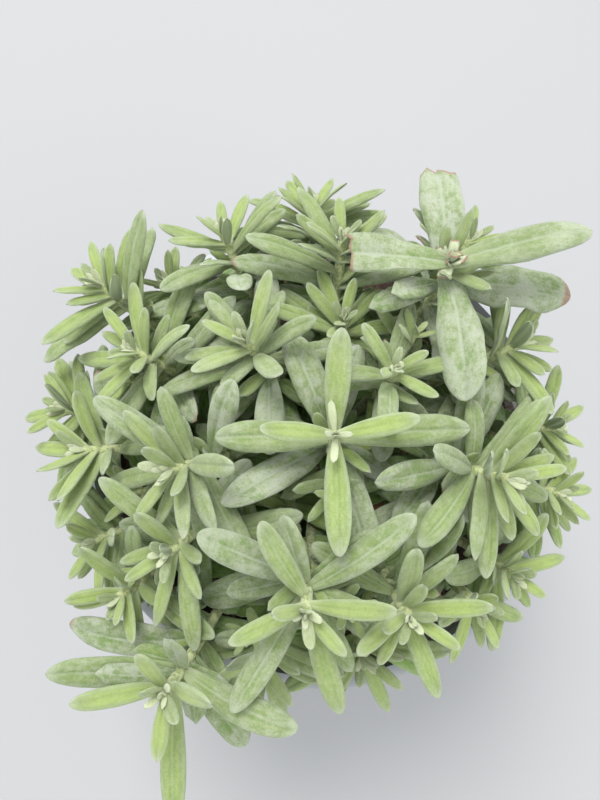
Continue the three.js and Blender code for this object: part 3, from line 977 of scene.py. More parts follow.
class Bench:
    """A material's node tree, and the ways to add to it."""

    def __init__(self, name: str) -> None:
        """Starts a material with a Principled surface.

        Args:
            name: The material's name.
        """
        self.material = bpy.data.materials.new(name)
        self.material.use_nodes = True
        self.tree = self.material.node_tree
        self.tree.nodes.clear()
        self.surface = self.tree.nodes.new("ShaderNodeBsdfPrincipled")
        output = self.tree.nodes.new("ShaderNodeOutputMaterial")
        self.tree.links.new(self.surface.outputs[0], output.inputs[0])

    def feed(self, node: bpy.types.Node, values: dict) -> None:
        """Sets or links a node's sockets.

        Args:
            node: The node.
            values: What each socket gets, by its name or number.
        """
        for key, value in values.items():
            if isinstance(value, Sock):
                self.tree.links.new(value.socket, node.inputs[key])
            else:
                node.inputs[key].default_value = value

    def node(
        self, kind: str, settings: dict | None = None, values: dict | None = None, out: str | int = 0
    ) -> Sock:
        """Adds a node.

        Args:
            kind: The node's type.
            settings: Its own settings, such as a Math node's operation.
            values: The values or links of its sockets.
            out: The output that is wanted.

        Returns:
            That output.
        """
        made = self.tree.nodes.new(kind)
        for key, value in (settings or {}).items():
            setattr(made, key, value)
        self.feed(made, values or {})
        return Sock(self, made.outputs[out])

    def place(self) -> Sock:
        """The surface's own coordinates."""
        return self.node("ShaderNodeTexCoord", out="Object")

    def split(self, vector: Sock) -> tuple[Sock, Sock, Sock]:
        """The three numbers of a vector.

        Args:
            vector: The vector.

        Returns:
            Its x, y and z.
        """
        parts = self.tree.nodes.new("ShaderNodeSeparateXYZ")
        self.feed(parts, {0: vector})
        return tuple(Sock(self, output) for output in parts.outputs)

    def attribute(self, name: str) -> tuple[Sock, Sock, Sock]:
        """The three numbers of a mesh attribute."""
        return self.split(self.node("ShaderNodeAttribute", {"attribute_name": name}, out="Vector"))

    def stretched(self, where: Sock, scale: tuple[float, float, float]) -> Sock:
        """Coordinates with another scale along each axis."""
        return self.node("ShaderNodeMapping", values={"Vector": where, "Scale": scale})

    def noise(self, scale: float, detail: float = 2.0, where: Sock | None = None, rough: float = 0.5) -> Sock:
        """A noise of a scale, in repeats a metre, over the surface's own coordinates."""
        values = {"Vector": where or self.place(), "Scale": scale, "Detail": detail, "Roughness": rough}
        return self.node("ShaderNodeTexNoise", values=values)

    def mix(self, share: "Sock | float", first: "Sock | tuple", second: "Sock | tuple") -> Sock:
        """A mix of two colours.

        Args:
            share: How much of the second.
            first: A colour.
            second: Another.

        Returns:
            The mixed colour.
        """
        colours = [value if isinstance(value, Sock) else (*value, 1.0) for value in (first, second)]
        settings = {"data_type": "RGBA", "clamp_factor": True}
        return self.node("ShaderNodeMix", settings, {0: share, 6: colours[0], 7: colours[1]}, 2)

    def layered(self, ground: Sock, *layers: tuple[Sock, "Sock | tuple"]) -> Sock:
        """A colour with others laid over it in turn, each by its share.

        Args:
            ground: The colour at the bottom.
            layers: The share and the colour of each layer.

        Returns:
            The colour on top.
        """
        for share, colour in layers:
            ground = self.mix(share, ground, colour)
        return ground

    def bump(self, height: Sock, distance: float, strength: float) -> Sock:
        """A relief of a height, as high as a distance in metres."""
        values = {"Height": height, "Distance": distance, "Strength": strength}
        return self.node("ShaderNodeBump", values=values)

    def finished(self, values: dict) -> bpy.types.Material:
        """Feeds the surface and hands over the material."""
        self.feed(self.surface, values)
        return self.material


def tint(red: int, green: int, blue: int, share: float = 1.0) -> tuple[float, float, float]:
    """A screen colour as light, made darker by a share.

    Args:
        red: Its red, from 0 to 255.
        green: Its green.
        blue: Its blue.
        share: The share of the light that is kept.

    Returns:
        Red, green and blue as light.
    """
    # the curve of the standard screen colours
    levels = np.array([red, green, blue]) / 255
    linear = np.where(levels <= 0.04045, levels / 12.92, ((levels + 0.055) / 1.055) ** 2.4)
    return tuple(float(level) for level in linear * share)


@dataclass(frozen=True)
class BladeFinish:
    """Felted green leaf, read from the blades' attributes."""

    lime: tuple = tint(176, 196, 110, 0.7)
    grey: tuple = tint(141, 153, 111, 0.74)
    deep: tuple = tint(100, 132, 60, 0.95)
    # a bright saturated green, painted on the leaves inside the bush as the glow of light shining through
    # them
    inner: tuple = tint(116, 162, 54, 1.2)
    felt: tuple = tint(200, 208, 182, 0.68)
    bloom: tuple = tint(208, 214, 194, 0.6)
    down: tuple = tint(222, 228, 190, 0.82)
    pale: tuple = tint(186, 202, 150, 0.72)
    under: tuple = tint(174, 188, 148, 0.78)
    dry: tuple = tint(180, 150, 128, 0.62)
    dead: tuple = tint(216, 164, 96, 0.85)
    # the patterns' scales in repeats a millimetre, and how far two of them are drawn out along the blade
    cloud_scale: float = 0.16
    patch_scale: float = 0.75
    streak_scale: float = 1.5
    grain_scale: float = 2.4
    drift_scale: float = 0.34
    streak_stretch: tuple = (1.0, 0.34, 1.0)
    drift_stretch: tuple = (1.0, 0.6, 1.0)
    # the distance between two blades' layers in the patterns, in millimetres, and the relief's, in metres
    layer_step: float = 90.0
    relief: float = 0.00035

    def material(self) -> bpy.types.Material:
        """Builds the material.

        Returns:
            The material.
        """
        bench = Bench("lavender_leaf")
        across, along, chance = bench.attribute("blade")
        lime, mealy, depth = bench.attribute("tone")
        dry, under, length = bench.attribute("state")
        age, downy, width = bench.attribute("growth")
        off = across.math("ABSOLUTE")
        # the blade laid flat, in millimetres, each blade in a layer of its own
        sides = {0: across * width * 0.5, 1: along * length, 2: chance * self.layer_step}
        flat = bench.node("ShaderNodeCombineXYZ", values=sides)
        cloud = bench.noise(self.cloud_scale, 2.0, flat)
        patches = bench.noise(self.patch_scale, 5.0, flat, 0.68)
        streaks = bench.noise(self.streak_scale, 3.0, bench.stretched(flat, self.streak_stretch), 0.6)
        grain = bench.noise(self.grain_scale, 4.0, flat, 0.75)
        drift = bench.noise(self.drift_scale, 5.0, bench.stretched(flat, self.drift_stretch), 0.6)
        body = bench.layered(
            # the blade's green; inside the bush a bright saturated green is painted as the glow of light
            # through the leaves, and the green is darker towards the root
            bench.mix(depth.ramp(0.05, 0.75) * 0.8, self.grey, self.inner),
            (along.ramp(0.45, 0.0) * 0.4 * age, self.deep),
            (cloud.ramp(0.35, 0.7) * 0.3, self.pale),
            (lime * 0.35, self.lime),
            # a young blade's bright strip, and its paler flanks
            ((off + (streaks - 0.5) * 0.2).ramp(0.6, 0.34) * along.ramp(0.98, 0.7) * lime, self.lime),
            (off.ramp(0.42, 0.7) * lime * 0.85, self.pale),
            # soft streaks along the blade, and painted shade in the grooves beside the middle vein
            (streaks.ramp(0.56, 0.4) * 0.5 * (0.3 + age * 0.7), self.deep),
            (off.ramp(0.04, 0.12) * off.ramp(0.3, 0.14) * age * 0.55, self.deep),
        )
        # the middle vein
        rib = (off + (grain - 0.5) * 0.05).ramp(0.1, 0.03) * age.ramp(0.25, 0.6) * along.ramp(1.0, 0.6)
        # felt: a veil that is thicker in patches, along the margins and at the tip, and thinner inside the
        # bush as painted shade
        veil = patches * 0.45 + drift * 0.75 + streaks * 0.4 + grain * 0.3
        felt = (veil + mealy * 0.5).ramp(1.0, 1.5) * mealy.ramp(0.05, 0.45) * (1.0 - lime * 0.6)
        # the bloom of a grown blade, in uneven patches, and the pale edge
        uneven = drift * 0.7 + patches * 0.3
        grown = age.ramp(0.45, 0.8)
        edge = off.ramp(0.84, 0.96) * 0.55 + along.ramp(0.88, 1.0) * 0.6
        # dry tips and dead leaves
        worn = (dry + (patches - 0.5) * 0.6 * dry.ramp(0.02, 0.3)).ramp(0.3, 0.7)
        body = bench.layered(
            body,
            (rib * (0.3 + mealy * 0.7), self.felt),
            (felt * 0.8, self.felt),
            (uneven.ramp(0.47, 0.4) * grown * 0.42, self.deep),
            (uneven.ramp(0.51, 0.57) * grown * (0.2 + mealy * 0.55), self.bloom),
            # the pale edge, made fainter inside the bush as painted shade
            (edge * (1.0 - depth * 0.6), self.felt),
            (grain.ramp(0.54, 0.68) * 0.45 * (mealy + 0.35), self.felt),
            (grain.ramp(0.46, 0.36) * 0.32 * (0.4 + age * 0.6) * (1.0 - downy), self.deep),
            (along.ramp(0.3, 0.0) * age.ramp(0.8, 0.3) * 0.55, self.down),
            (downy * (0.6 + grain * 0.5), self.down),
            (under, self.under),
            (worn, bench.mix(along.ramp(0.4, 0.7), self.dead, self.dry)),
        )
        relief = grain * 0.5 + streaks * 0.5 + patches * mealy * 1.2
        return bench.finished(
            {
                "Base Color": body,
                "Roughness": 0.9 - lime * 0.16,
                "Normal": bench.bump(relief, self.relief, 0.8),
                "Specular IOR Level": 0.3,
                "Sheen Weight": 0.22,
                "Sheen Roughness": 0.55,
                "Sheen Tint": (0.97, 1.0, 0.93, 1.0),
                "Subsurface Weight": 0.4,
                "Subsurface Radius": (0.9, 1.0, 0.65),
                "Subsurface Scale": 0.0006,
            }
        )


@dataclass(frozen=True)
class StemFinish:
    """Pale felted young stem that turns brown and woody towards the soil."""

    young: tuple = tint(208, 216, 158, 0.82)
    green: tuple = tint(150, 166, 98, 0.78)
    wood: tuple = tint(122, 98, 66, 0.8)
    felt: tuple = tint(222, 226, 196, 0.8)
    # the patterns' scales in repeats a metre, and the relief's height in metres
    streak_scale: float = 900.0
    grain_scale: float = 3200.0
    relief: float = 0.0002

    def material(self) -> bpy.types.Material:
        """Builds the material.

        Returns:
            The material.
        """
        bench = Bench("lavender_stem")
        _, along, _ = bench.attribute("blade")
        where = bench.place()
        streak = bench.noise(self.streak_scale, 4.0, where, 0.65)
        grain = bench.noise(self.grain_scale, 2.0, where)
        body = bench.layered(
            bench.mix(streak.ramp(0.4, 0.65), self.young, self.green),
            ((along + (streak - 0.5) * 0.3).ramp(0.36, 0.12), self.wood),
            (grain.ramp(0.5, 0.7) * along.ramp(0.2, 0.6) * 0.6, self.felt),
        )
        return bench.finished(
            {
                "Base Color": body,
                "Roughness": 0.88,
                "Normal": bench.bump(streak + grain * 0.5, self.relief, 0.6),
                "Sheen Weight": 0.35,
                "Sheen Roughness": 0.5,
            }
        )


@dataclass(frozen=True)
class PotFinish:
    """Thin pale moulded plastic with a few scuffs, and soil dust inside."""

    plastic: tuple = (0.47, 0.49, 0.515)
    scuffed: tuple = (0.39, 0.405, 0.425)
    dust: tuple = (0.2, 0.15, 0.11)
    # the patterns' scales in repeats a metre, how far they are drawn out, and the relief in metres
    cloud_scale: float = 38.0
    scuff_scale: float = 700.0
    fine_scale: float = 2400.0
    flow: tuple = (1.0, 1.0, 0.25)
    relief: float = 0.00006
    # the heights, in metres, between which the soil's film and the splashes at the foot end
    film_ends: tuple = (0.101, 0.094)
    splash_ends: tuple = (0.02, 0.0)

    def material(self) -> bpy.types.Material:
        """Builds the material.

        Returns:
            The material.
        """
        bench = Bench("pale_pot_plastic")
        where = bench.place()
        _, _, height = bench.split(where)
        flow = bench.stretched(where, self.flow)
        cloud = bench.noise(self.cloud_scale, 3.0, flow)
        scuff = bench.noise(self.scuff_scale, 5.0, flow, 0.7)
        fine = bench.noise(self.fine_scale, 2.0, where)
        inside, _, _ = bench.attribute("inner")
        film = inside * height.ramp(*self.film_ends) * (0.35 + scuff.ramp(0.35, 0.6) * 0.65)
        splash = height.ramp(*self.splash_ends) * scuff.ramp(0.5, 0.68) * 0.3
        body = bench.layered(
            bench.mix(cloud.ramp(0.35, 0.75) * 0.25, self.plastic, self.scuffed),
            (scuff.ramp(0.6, 0.75) * 0.35, self.scuffed),
            (film, self.dust),
            (splash, self.dust),
        )
        return bench.finished(
            {
                "Base Color": body,
                "Roughness": 0.38 + scuff * 0.16 + film * 0.3,
                "Normal": bench.bump(fine + cloud * 2.0, self.relief, 0.5),
                "Specular IOR Level": 0.45,
            }
        )


@dataclass(frozen=True)
class SoilFinish:
    """Dark peaty potting soil, its fibres and its crumbs."""

    dark: tuple = (0.021, 0.014, 0.01)
    warm: tuple = (0.085, 0.052, 0.031)
    fibre: tuple = (0.2, 0.13, 0.075)
    grit: tuple = (0.62, 0.6, 0.56)
    # the patterns' scales in repeats a metre, how far the fibres are drawn out, and the relief in metres
    lump_scale: float = 420.0
    fine_scale: float = 1900.0
    fibre_scale: float = 600.0
    fibre_stretch: tuple = (1.0, 4.0, 1.0)
    relief: float = 0.0009

    def material(self) -> bpy.types.Material:
        """Builds the material.

        Returns:
            The material.
        """
        bench = Bench("potting_soil")
        kind, _, _ = bench.attribute("crumb")
        where = bench.place()
        lumps = bench.noise(self.lump_scale, 6.0, where, 0.65)
        fine = bench.noise(self.fine_scale, 4.0, where, 0.7)
        fibres = bench.noise(self.fibre_scale, 3.0, bench.stretched(where, self.fibre_stretch))
        body = bench.layered(
            bench.mix(lumps.ramp(0.35, 0.65), self.dark, self.warm),
            (fibres.ramp(0.62, 0.72) * 0.7, self.fibre),
            (kind.ramp(0.3, 0.6), self.fibre),
            (kind.ramp(0.8, 0.95), self.grit),
        )
        relief = bench.bump(lumps + fine, self.relief, 0.8)
        return bench.finished({"Base Color": body, "Roughness": 0.95, "Normal": relief})


# Meshes


def deselect() -> None:
    """Leaves object mode with nothing selected."""
    if bpy.context.object and bpy.context.object.mode != "OBJECT":
        bpy.ops.object.mode_set(mode="OBJECT")
    bpy.ops.object.select_all(action="DESELECT")


def activate(thing: bpy.types.Object) -> None:
    """Makes one object the selected and active one.

    Args:
        thing: The object.
    """
    deselect()
    thing.select_set(True)
    bpy.context.view_layer.objects.active = thing


def apply_modifier(thing: bpy.types.Object, kind: str, **settings: object) -> None:
    """Adds a modifier to an object and applies it.

    Args:
        thing: The object.
        kind: The modifier's type.
        settings: The modifier's own settings.
    """
    activate(thing)
    made = thing.modifiers.new(kind.lower(), kind)
    for key, value in settings.items():
        setattr(made, key, value)
    bpy.ops.object.modifier_apply(modifier=made.name)


def settle_transform(thing: bpy.types.Object) -> None:
    """Moves an object's place into its mesh."""
    activate(thing)
    bpy.ops.object.transform_apply(location=True, rotation=True, scale=True)


def joined(things: Sequence[bpy.types.Object], name: str) -> bpy.types.Object:
    """Joins objects into the first of them, under a new name.

    Args:
        things: The objects.
        name: The new name.

    Returns:
        The first object.
    """
    activate(things[0])
    for thing in things:
        thing.select_set(True)
    bpy.ops.object.join()
    things[0].name = name
    things[0].data.name = name
    return things[0]


def coordinates(mesh: bpy.types.Mesh) -> np.ndarray:
    """A mesh's vertices as rows of three numbers.

    Args:
        mesh: The mesh.

    Returns:
        One row for each vertex, in metres.
    """
    flat = np.zeros(len(mesh.vertices) * 3)
    mesh.vertices.foreach_get("co", flat)
    return flat.reshape(-1, 3)


def mark(mesh: bpy.types.Mesh, name: str, values: np.ndarray) -> None:
    """Keeps three numbers for each vertex, for the material to read."""
    made = mesh.attributes.new(name, "FLOAT_VECTOR", "POINT")
    made.data.foreach_set("vector", np.asarray(values, np.float32).ravel())


def turned(name: str, profile: Sequence[tuple[float, float]], sides: int) -> bpy.types.Object:
    """A round closed solid, drawn ring by ring from the bottom of its axis to the top.

    Args:
        name: The object's name.
        profile: Radius and height of each ring, in millimetres; the first and the last are closed.
        sides: The number of faces round the axis.

    Returns:
        The object.
    """
    deselect()
    radius, height = profile[0]
    bpy.ops.mesh.primitive_circle_add(
        vertices=sides, radius=radius * MM, fill_type="TRIFAN", location=(0, 0, height * MM)
    )
    thing = bpy.context.object
    thing.name = name
    settle_transform(thing)
    bpy.ops.object.mode_set(mode="EDIT")
    bpy.ops.mesh.select_all(action="SELECT")
    bpy.ops.mesh.flip_normals()
    bpy.ops.mesh.select_mode(type="EDGE")
    bpy.ops.mesh.select_all(action="DESELECT")
    bpy.ops.mesh.select_non_manifold(extend=False, use_wire=False, use_multi_face=False, use_verts=False)
    for next_radius, next_height in profile[1:]:
        bpy.ops.mesh.extrude_edges_move(TRANSFORM_OT_translate={"value": (0, 0, (next_height - height) * MM)})
        scale = next_radius / radius
        bpy.ops.transform.resize(value=(scale, scale, 1.0), center_override=(0, 0, next_height * MM))
        radius, height = next_radius, next_height
    bpy.ops.mesh.fill(use_beauty=False)
    bpy.ops.mesh.select_all(action="SELECT")
    bpy.ops.mesh.normals_make_consistent(inside=False)
    bpy.ops.object.mode_set(mode="OBJECT")
    return thing


def smooth(thing: bpy.types.Object, degrees: float) -> None:
    """Shades an object smooth, but for the edges sharper than an angle."""
    activate(thing)
    bpy.ops.object.shade_smooth_by_angle(angle=math.radians(degrees))


def inner_radius(height: float) -> float:
    """The pot's inner radius under its band, at a height in millimetres.

    Args:
        height: The height over the ground.

    Returns:
        The radius, in millimetres.
    """
    top = RIM_RADIUS - BAND_INSET - BAND_STEP - WALL
    bottom = BASE_RADIUS - WALL
    return bottom + (top - bottom) * (height - FLOOR) / (POT_HEIGHT - BAND_HEIGHT - FLOOR)


@dataclass
class NurseryPot:
    """The moulded pot: its lip and band, its wall, and its floor with drain holes and notches."""

    sides: int = 144
    hole_sides: int = 32
    # the rounding of the edges: its width in millimetres, its faces, and the least angle in radians
    edge: float = 0.35
    edge_faces: int = 3
    edge_angle: float = 0.6
    # the angle between faces, in degrees, up to which the surface is smooth
    smooth_up_to: float = 32.0
    # what counts as the inside: within these radii at these heights, in millimetres, and over the floor
    inside_heights: tuple[float, ...] = (0, 94, 97, 105)
    inside_radii: tuple[float, ...] = (45.6, 60.2, 62.4, 62.5)
    off_lip: float = 0.2
    floor_share: float = 0.9

    def profile(self) -> list[tuple[float, float]]:
        """The pot's section, from the middle of the underside round to the middle of the floor.

        Returns:
            Radius and height of each ring, in millimetres.
        """
        band_from = POT_HEIGHT - BAND_HEIGHT
        band = RIM_RADIUS - BAND_INSET
        lip_from = POT_HEIGHT - LIP_HEIGHT
        return [
            (RAISED_FROM, 0),
            (RAISED_FROM + RAISED_SLOPE, RAISE),
            (RAISED_TO - RAISED_SLOPE, RAISE),
            (RAISED_TO, 0),
            (BASE_RADIUS - BASE_CHAMFER, 0),
            (BASE_RADIUS - CHAMFER_MIDDLE * BASE_CHAMFER, CHAMFER_MIDDLE * BASE_CHAMFER),
            (BASE_RADIUS, BASE_CHAMFER),
            (band - BAND_STEP, band_from),
            (band - BAND_TAPER, band_from + STEP_SLOPE),
            (band, lip_from),
            (RIM_RADIUS, lip_from),
            (RIM_RADIUS, POT_HEIGHT),
            (RIM_RADIUS - LIP_WIDTH, POT_HEIGHT),
            (band - BAND_TAPER - WALL, band_from + STEP_SLOPE + STEP_THICKNESS),
            (inner_radius(band_from), band_from + STEP_THICKNESS),
            (inner_radius(FLOOR), FLOOR),
        ]

    def build(self) -> bpy.types.Object:
        """Makes and dresses the pot.

        Returns:
            The finished piece.
        """
        pot = turned("nursery_pot", self.profile(), self.sides)
        rounding = {"width": self.edge * MM, "segments": self.edge_faces, "angle_limit": self.edge_angle}
        apply_modifier(pot, "BEVEL", limit_method="ANGLE", **rounding)
        for cutter in self.cutters():
            apply_modifier(pot, "BOOLEAN", operation="DIFFERENCE", object=cutter, solver="EXACT")
            bpy.data.objects.remove(cutter)
        smooth(pot, self.smooth_up_to)
        points = coordinates(pot.data)
        radius = np.hypot(points[:, 0], points[:, 1]) / MM
        inside = radius < RIM_RADIUS - LIP_WIDTH - self.off_lip
        inside &= points[:, 2] > self.floor_share * FLOOR * MM
        inside &= radius < np.interp(points[:, 2] / MM, self.inside_heights, self.inside_radii)
        mark(pot.data, "inner", np.repeat(inside[:, None], 3, axis=1))
        pot.data.materials.append(PotFinish().material())
        return pot

    def cutters(self) -> list[bpy.types.Object]:
        """The tools that cut the drain holes and the notches.

        Returns:
            One joined object for the holes and one for the notches.
        """
        holes, notches = [], []
        circle = (RAISED_FROM + RAISED_TO) / 2
        middle = (BASE_RADIUS + RAISED_TO) / 2
        for step in range(DRAIN_HOLES):
            angle = step * TWO_PI / DRAIN_HOLES
            deselect()
            bpy.ops.mesh.primitive_cylinder_add(
                vertices=self.hole_sides,
                radius=DRAIN_RADIUS * MM,
                depth=4 * FLOOR * MM,
                location=(circle * math.cos(angle) * MM, circle * math.sin(angle) * MM, FLOOR * MM),
            )
            settle_transform(bpy.context.object)
            holes.append(bpy.context.object)
            angle += math.pi / DRAIN_HOLES
            deselect()
            place = (middle * math.cos(angle) * MM, middle * math.sin(angle) * MM, 0)
            bpy.ops.mesh.primitive_cube_add(size=1, location=place)
            notch = bpy.context.object
            notch.scale = (NOTCH_LENGTH * MM, NOTCH_WIDTH * MM, 2 * NOTCH_HEIGHT * MM)
            notch.rotation_euler.z = angle
            settle_transform(notch)
            notches.append(notch)
        return [joined(holes, "hole_tool"), joined(notches, "notch_tool")]


@dataclass(frozen=True)
class Litter:
    """What lies on the soil: its number for the material, its spread of sizes in millimetres, its stretch."""

    number: float
    sizes: Spread
    stretch: tuple[float, float, float]


CRUMB = Litter(0.0, (0.5, 1.5), (1, 1, 0.7))
FIBRE = Litter(0.5, (0.7, 1.2), (2.6, 0.7, 0.4))
GRIT = Litter(1.0, (0.5, 1.5), (1, 1, 0.7))


@dataclass
class Soil:
    """The potting soil, lumpy on top, with crumbs, fibres and pale grit lying on it."""

    rings: int = 26
    sides: int = 96
    seed: int = 4711
    smooth_up_to: float = 50.0
    # the lumps, in millimetres: the chance ones' spread, the regular ones' height and repeats, and the most
    chance_lift: float = 0.4
    regular_lift: float = 0.7
    repeats: tuple[float, float] = (160, 190)
    most_lift: float = 1.3
    # the litter: how many pieces, how far from the wall, which share is grit and which of the rest fibres
    pieces: int = 420
    off_wall: float = 1.5
    grit_share: float = 0.1
    fibre_share: float = 0.25
    roughness: Spread = (-0.25, 0.25)
    standing_out: float = 0.35

    def build(self) -> bpy.types.Object:
        """Makes and dresses the soil.

        Returns:
            The finished piece.
        """
        bottom = FLOOR + FIT_GAP
        edge = inner_radius(SOIL_TOP) - FIT_GAP
        profile = [(inner_radius(bottom) - FIT_GAP, bottom), (edge, SOIL_TOP)]
        for ring in range(1, self.rings):
            share = 1 - ring / self.rings
            profile.append((edge * share, SOIL_TOP + SOIL_DOME * (1 - share**2)))
        soil = turned("potting_soil", profile, self.sides)
        points = coordinates(soil.data)
        draws = np.random.default_rng(self.seed)
        on_top = points[:, 2] > (SOIL_TOP + TOP_SLACK) * MM
        regular = np.sin(points[:, 0] * self.repeats[0]), np.sin(points[:, 1] * self.repeats[1])
        lift = draws.normal(0, self.chance_lift, len(points)) + self.regular_lift * regular[0] * regular[1]
        points[:, 2] += np.where(on_top, np.clip(lift, -self.most_lift, self.most_lift) * MM, 0)
        soil.data.vertices.foreach_set("co", points.ravel())
        mark(soil.data, "crumb", np.zeros((len(points), 3)))
        soil = joined([soil, self.litter(edge, draws)], "potting_soil")
        smooth(soil, self.smooth_up_to)
        soil.data.materials.clear()
        soil.data.materials.append(SoilFinish().material())
        return soil

    def litter(self, edge: float, draws: np.random.Generator) -> bpy.types.Object:
        """The crumbs on the soil, each a copy of one modelled crumb.

        Args:
            edge: The soil's radius, in millimetres.
            draws: The source of draws.

        Returns:
            One object with all of them.
        """
        deselect()
        bpy.ops.mesh.primitive_ico_sphere_add(subdivisions=1, radius=1)
        crumb = bpy.context.object
        shape = coordinates(crumb.data)
        faces = np.array([list(face.vertices) for face in crumb.data.polygons])
        bpy.data.objects.remove(crumb)
        points, links, kinds = [], [], []
        for index in range(self.pieces):
            radius = (edge - self.off_wall) * math.sqrt(draws.uniform())
            angle = draws.uniform(0, TWO_PI)
            if draws.uniform() < self.grit_share:
                kind = GRIT
            else:
                kind = FIBRE if draws.uniform() < self.fibre_share else CRUMB
            size = draws.uniform(*kind.sizes)
            own = shape * (1 + draws.uniform(*self.roughness, shape.shape)) * kind.stretch * size
            turn = draws.uniform(0, TWO_PI)
            c, s = math.cos(turn), math.sin(turn)
            own = own @ np.array([[c, s, 0], [-s, c, 0], [0, 0, 1]])
            level = SOIL_TOP + SOIL_DOME * (1 - (radius / edge) ** 2) + self.standing_out * size
            own += (radius * math.cos(angle), radius * math.sin(angle), level)
            links.append(faces + index * len(shape))
            points.append(own * MM)
            kinds.append(np.full((len(shape), 3), kind.number))
        mesh = bpy.data.meshes.new("litter")
        mesh.from_pydata(np.concatenate(points).tolist(), [], np.concatenate(links).tolist())
        mark(mesh, "crumb", np.concatenate(kinds))
        thing = bpy.data.objects.new("litter", mesh)
        bpy.context.scene.collection.objects.link(thing)
        return thing


@dataclass
class BladeMaster:
    """A flat blade with a top and an underside, modelled once; every leaf is a bent copy of it."""

    columns: tuple[float, ...]
    rows: tuple[float, ...]
    off: np.ndarray = field(init=False)
    along: np.ndarray = field(init=False)
    under: np.ndarray = field(init=False)
    faces: np.ndarray = field(init=False)

    def __post_init__(self) -> None:
        """Models the blade as a sheet, spaces its rows and gives it two sides."""
        across = [-value for value in reversed(self.columns[1:])] + list(self.columns)
        deselect()
        cells = {"x_subdivisions": len(across) - 1, "y_subdivisions": len(self.rows) - 1}
        bpy.ops.mesh.primitive_grid_add(size=2, **cells)
        sheet = bpy.context.object
        points = coordinates(sheet.data)
        points[:, 0] = np.interp(points[:, 0], np.linspace(-1, 1, len(across)), across)
        points[:, 1] = np.interp(points[:, 1], np.linspace(-1, 1, len(self.rows)), self.rows)
        sheet.data.vertices.foreach_set("co", points.ravel())
        apply_modifier(sheet, "SOLIDIFY", thickness=1.0, offset=-1.0)
        points = coordinates(sheet.data)
        self.off, self.along = points[:, 0], points[:, 1]
        self.under = np.clip(-points[:, 2], 0, 1)
        self.faces = np.array([list(face.vertices) for face in sheet.data.polygons])
        bpy.data.objects.remove(sheet)


class BladeForm:
    """How a blade's section rolls from a folded young one to a broad old one."""

    SPOTS = (0, 0.1, 0.28, 0.55, 0.78, 0.92, 1)
    YOUNG = (26, 20, 6, -22, -62, -104, -150)
    OLD = (44, 28, 10, -10, -30, -64, -116)
    FINE = 61

    def __init__(self, age: float) -> None:
        """Works out the section for an age from 0 to 1."""
        self.share = np.linspace(0, 1, self.FINE)
        slopes = (1 - age) * np.array(self.YOUNG) + age * np.array(self.OLD)
        self.slope = np.radians(np.interp(self.share, self.SPOTS, slopes))
        step = 1 / (self.FINE - 1)
        between = (self.slope[1:] + self.slope[:-1]) / 2
        self.out = np.concatenate([[0], np.cumsum(np.cos(between) * step)])
        self.rise = np.concatenate([[0], np.cumsum(np.sin(between) * step)])
        widest = self.out.max()
        self.out /= widest
        self.rise /= widest

    def at(self, off: np.ndarray) -> tuple[np.ndarray, np.ndarray, np.ndarray]:
        """Distance out, height and slope at shares of the half width, each signed share being one side.

        Args:
            off: The shares, from -1 to 1.

        Returns:
            The distances and heights in half widths, and the slopes in radians.
        """
        share = np.abs(off)
        return (
            np.sign(off) * np.interp(share, self.share, self.out),
            np.interp(share, self.share, self.rise),
            np.interp(share, self.share, self.slope),
        )


@dataclass(frozen=True)
class Thickness:
    """How thick a finished blade is, in millimetres and shares."""

    sheet: float = 0.34
    young_more: float = 0.1
    margin_less: float = 0.45
    vein: float = 0.25
    vein_width: float = 0.14
    vein_fades: float = 0.7
    # a narrow place is thinner: the least share, the rest, and the half width from which it is whole
    narrow_share: float = 0.6
    narrow_rest: float = 0.4
    narrow_from: float = 1.2
    # and never thicker than this at a half width of nothing, and this much more for each millimetre of it
    least: float = 0.12
    per_half: float = 0.5

    def at(self, off: np.ndarray, along: np.ndarray, half: np.ndarray, age: float) -> np.ndarray:
        """The thickness at places on a blade.

        Args:
            off: Places across it, from -1 to 1.
            along: Places along it, from 0 to 1.
            half: The half widths there, in millimetres.
            age: The blade's age from 0 to 1.

        Returns:
            The thicknesses, in millimetres.
        """
        sheet = (self.sheet + self.young_more * (1 - age)) * (1 - self.margin_less * np.abs(off) ** 3)
        sheet = sheet * (self.narrow_share + self.narrow_rest * np.clip(half / self.narrow_from, 0, 1))
        vein = self.vein * np.exp(-((off / self.vein_width) ** 2)) * (1 - self.vein_fades * along)
        return np.minimum(sheet + vein, self.least + self.per_half * half)


@dataclass(frozen=True)
class Stray:
    """How far finished blades stray from their plain form, by the spreads of the draws."""

    age: Spread = (-0.1, 0.1)
    # a torn end: its corners between the margins, and how far they lie off a straight cut, in lengths
    corners: int = 7
    tear: Spread = (-0.08, 0.05)
    # the outline's ripples along the blade and their depth, and the uneven halves
    ripples: Spread = (1.5, 3.5)
    ripple: Spread = (0.0, 0.045)
    uneven: Spread = (-0.08, 0.08)
    # the margins' waves: height, rise towards the margin, number, and the shift between the two sides
    wave: Spread = (0.05, 0.17)
    wave_power: float = 1.5
    waves: Spread = (1.2, 2.6)
    wave_shift: Spread = (0, 2)
    # the sideways bow and the tip's droop in lengths, the twist in degrees, and a young blade's fold
    sway: Spread = (-0.055, 0.055)
    twist: Spread = (-22, 22)
    twist_power: float = 1.5
    droop: Spread = (-0.02, 0.035)
    droop_from: float = 0.7
    droop_over: float = 0.3
    fold: Spread = (0.0, 0.12)


STRAY = Stray()
THICKNESS = Thickness()

# How high a blade's face lies over the plain blade's middle, in millimetres, and how far worn blades curl up
FACE_HEIGHT = 0.5
CURL_HEIGHT = 0.5
CURLS = {Wear.CURLED: 0.7, Wear.WITHERED: 1}

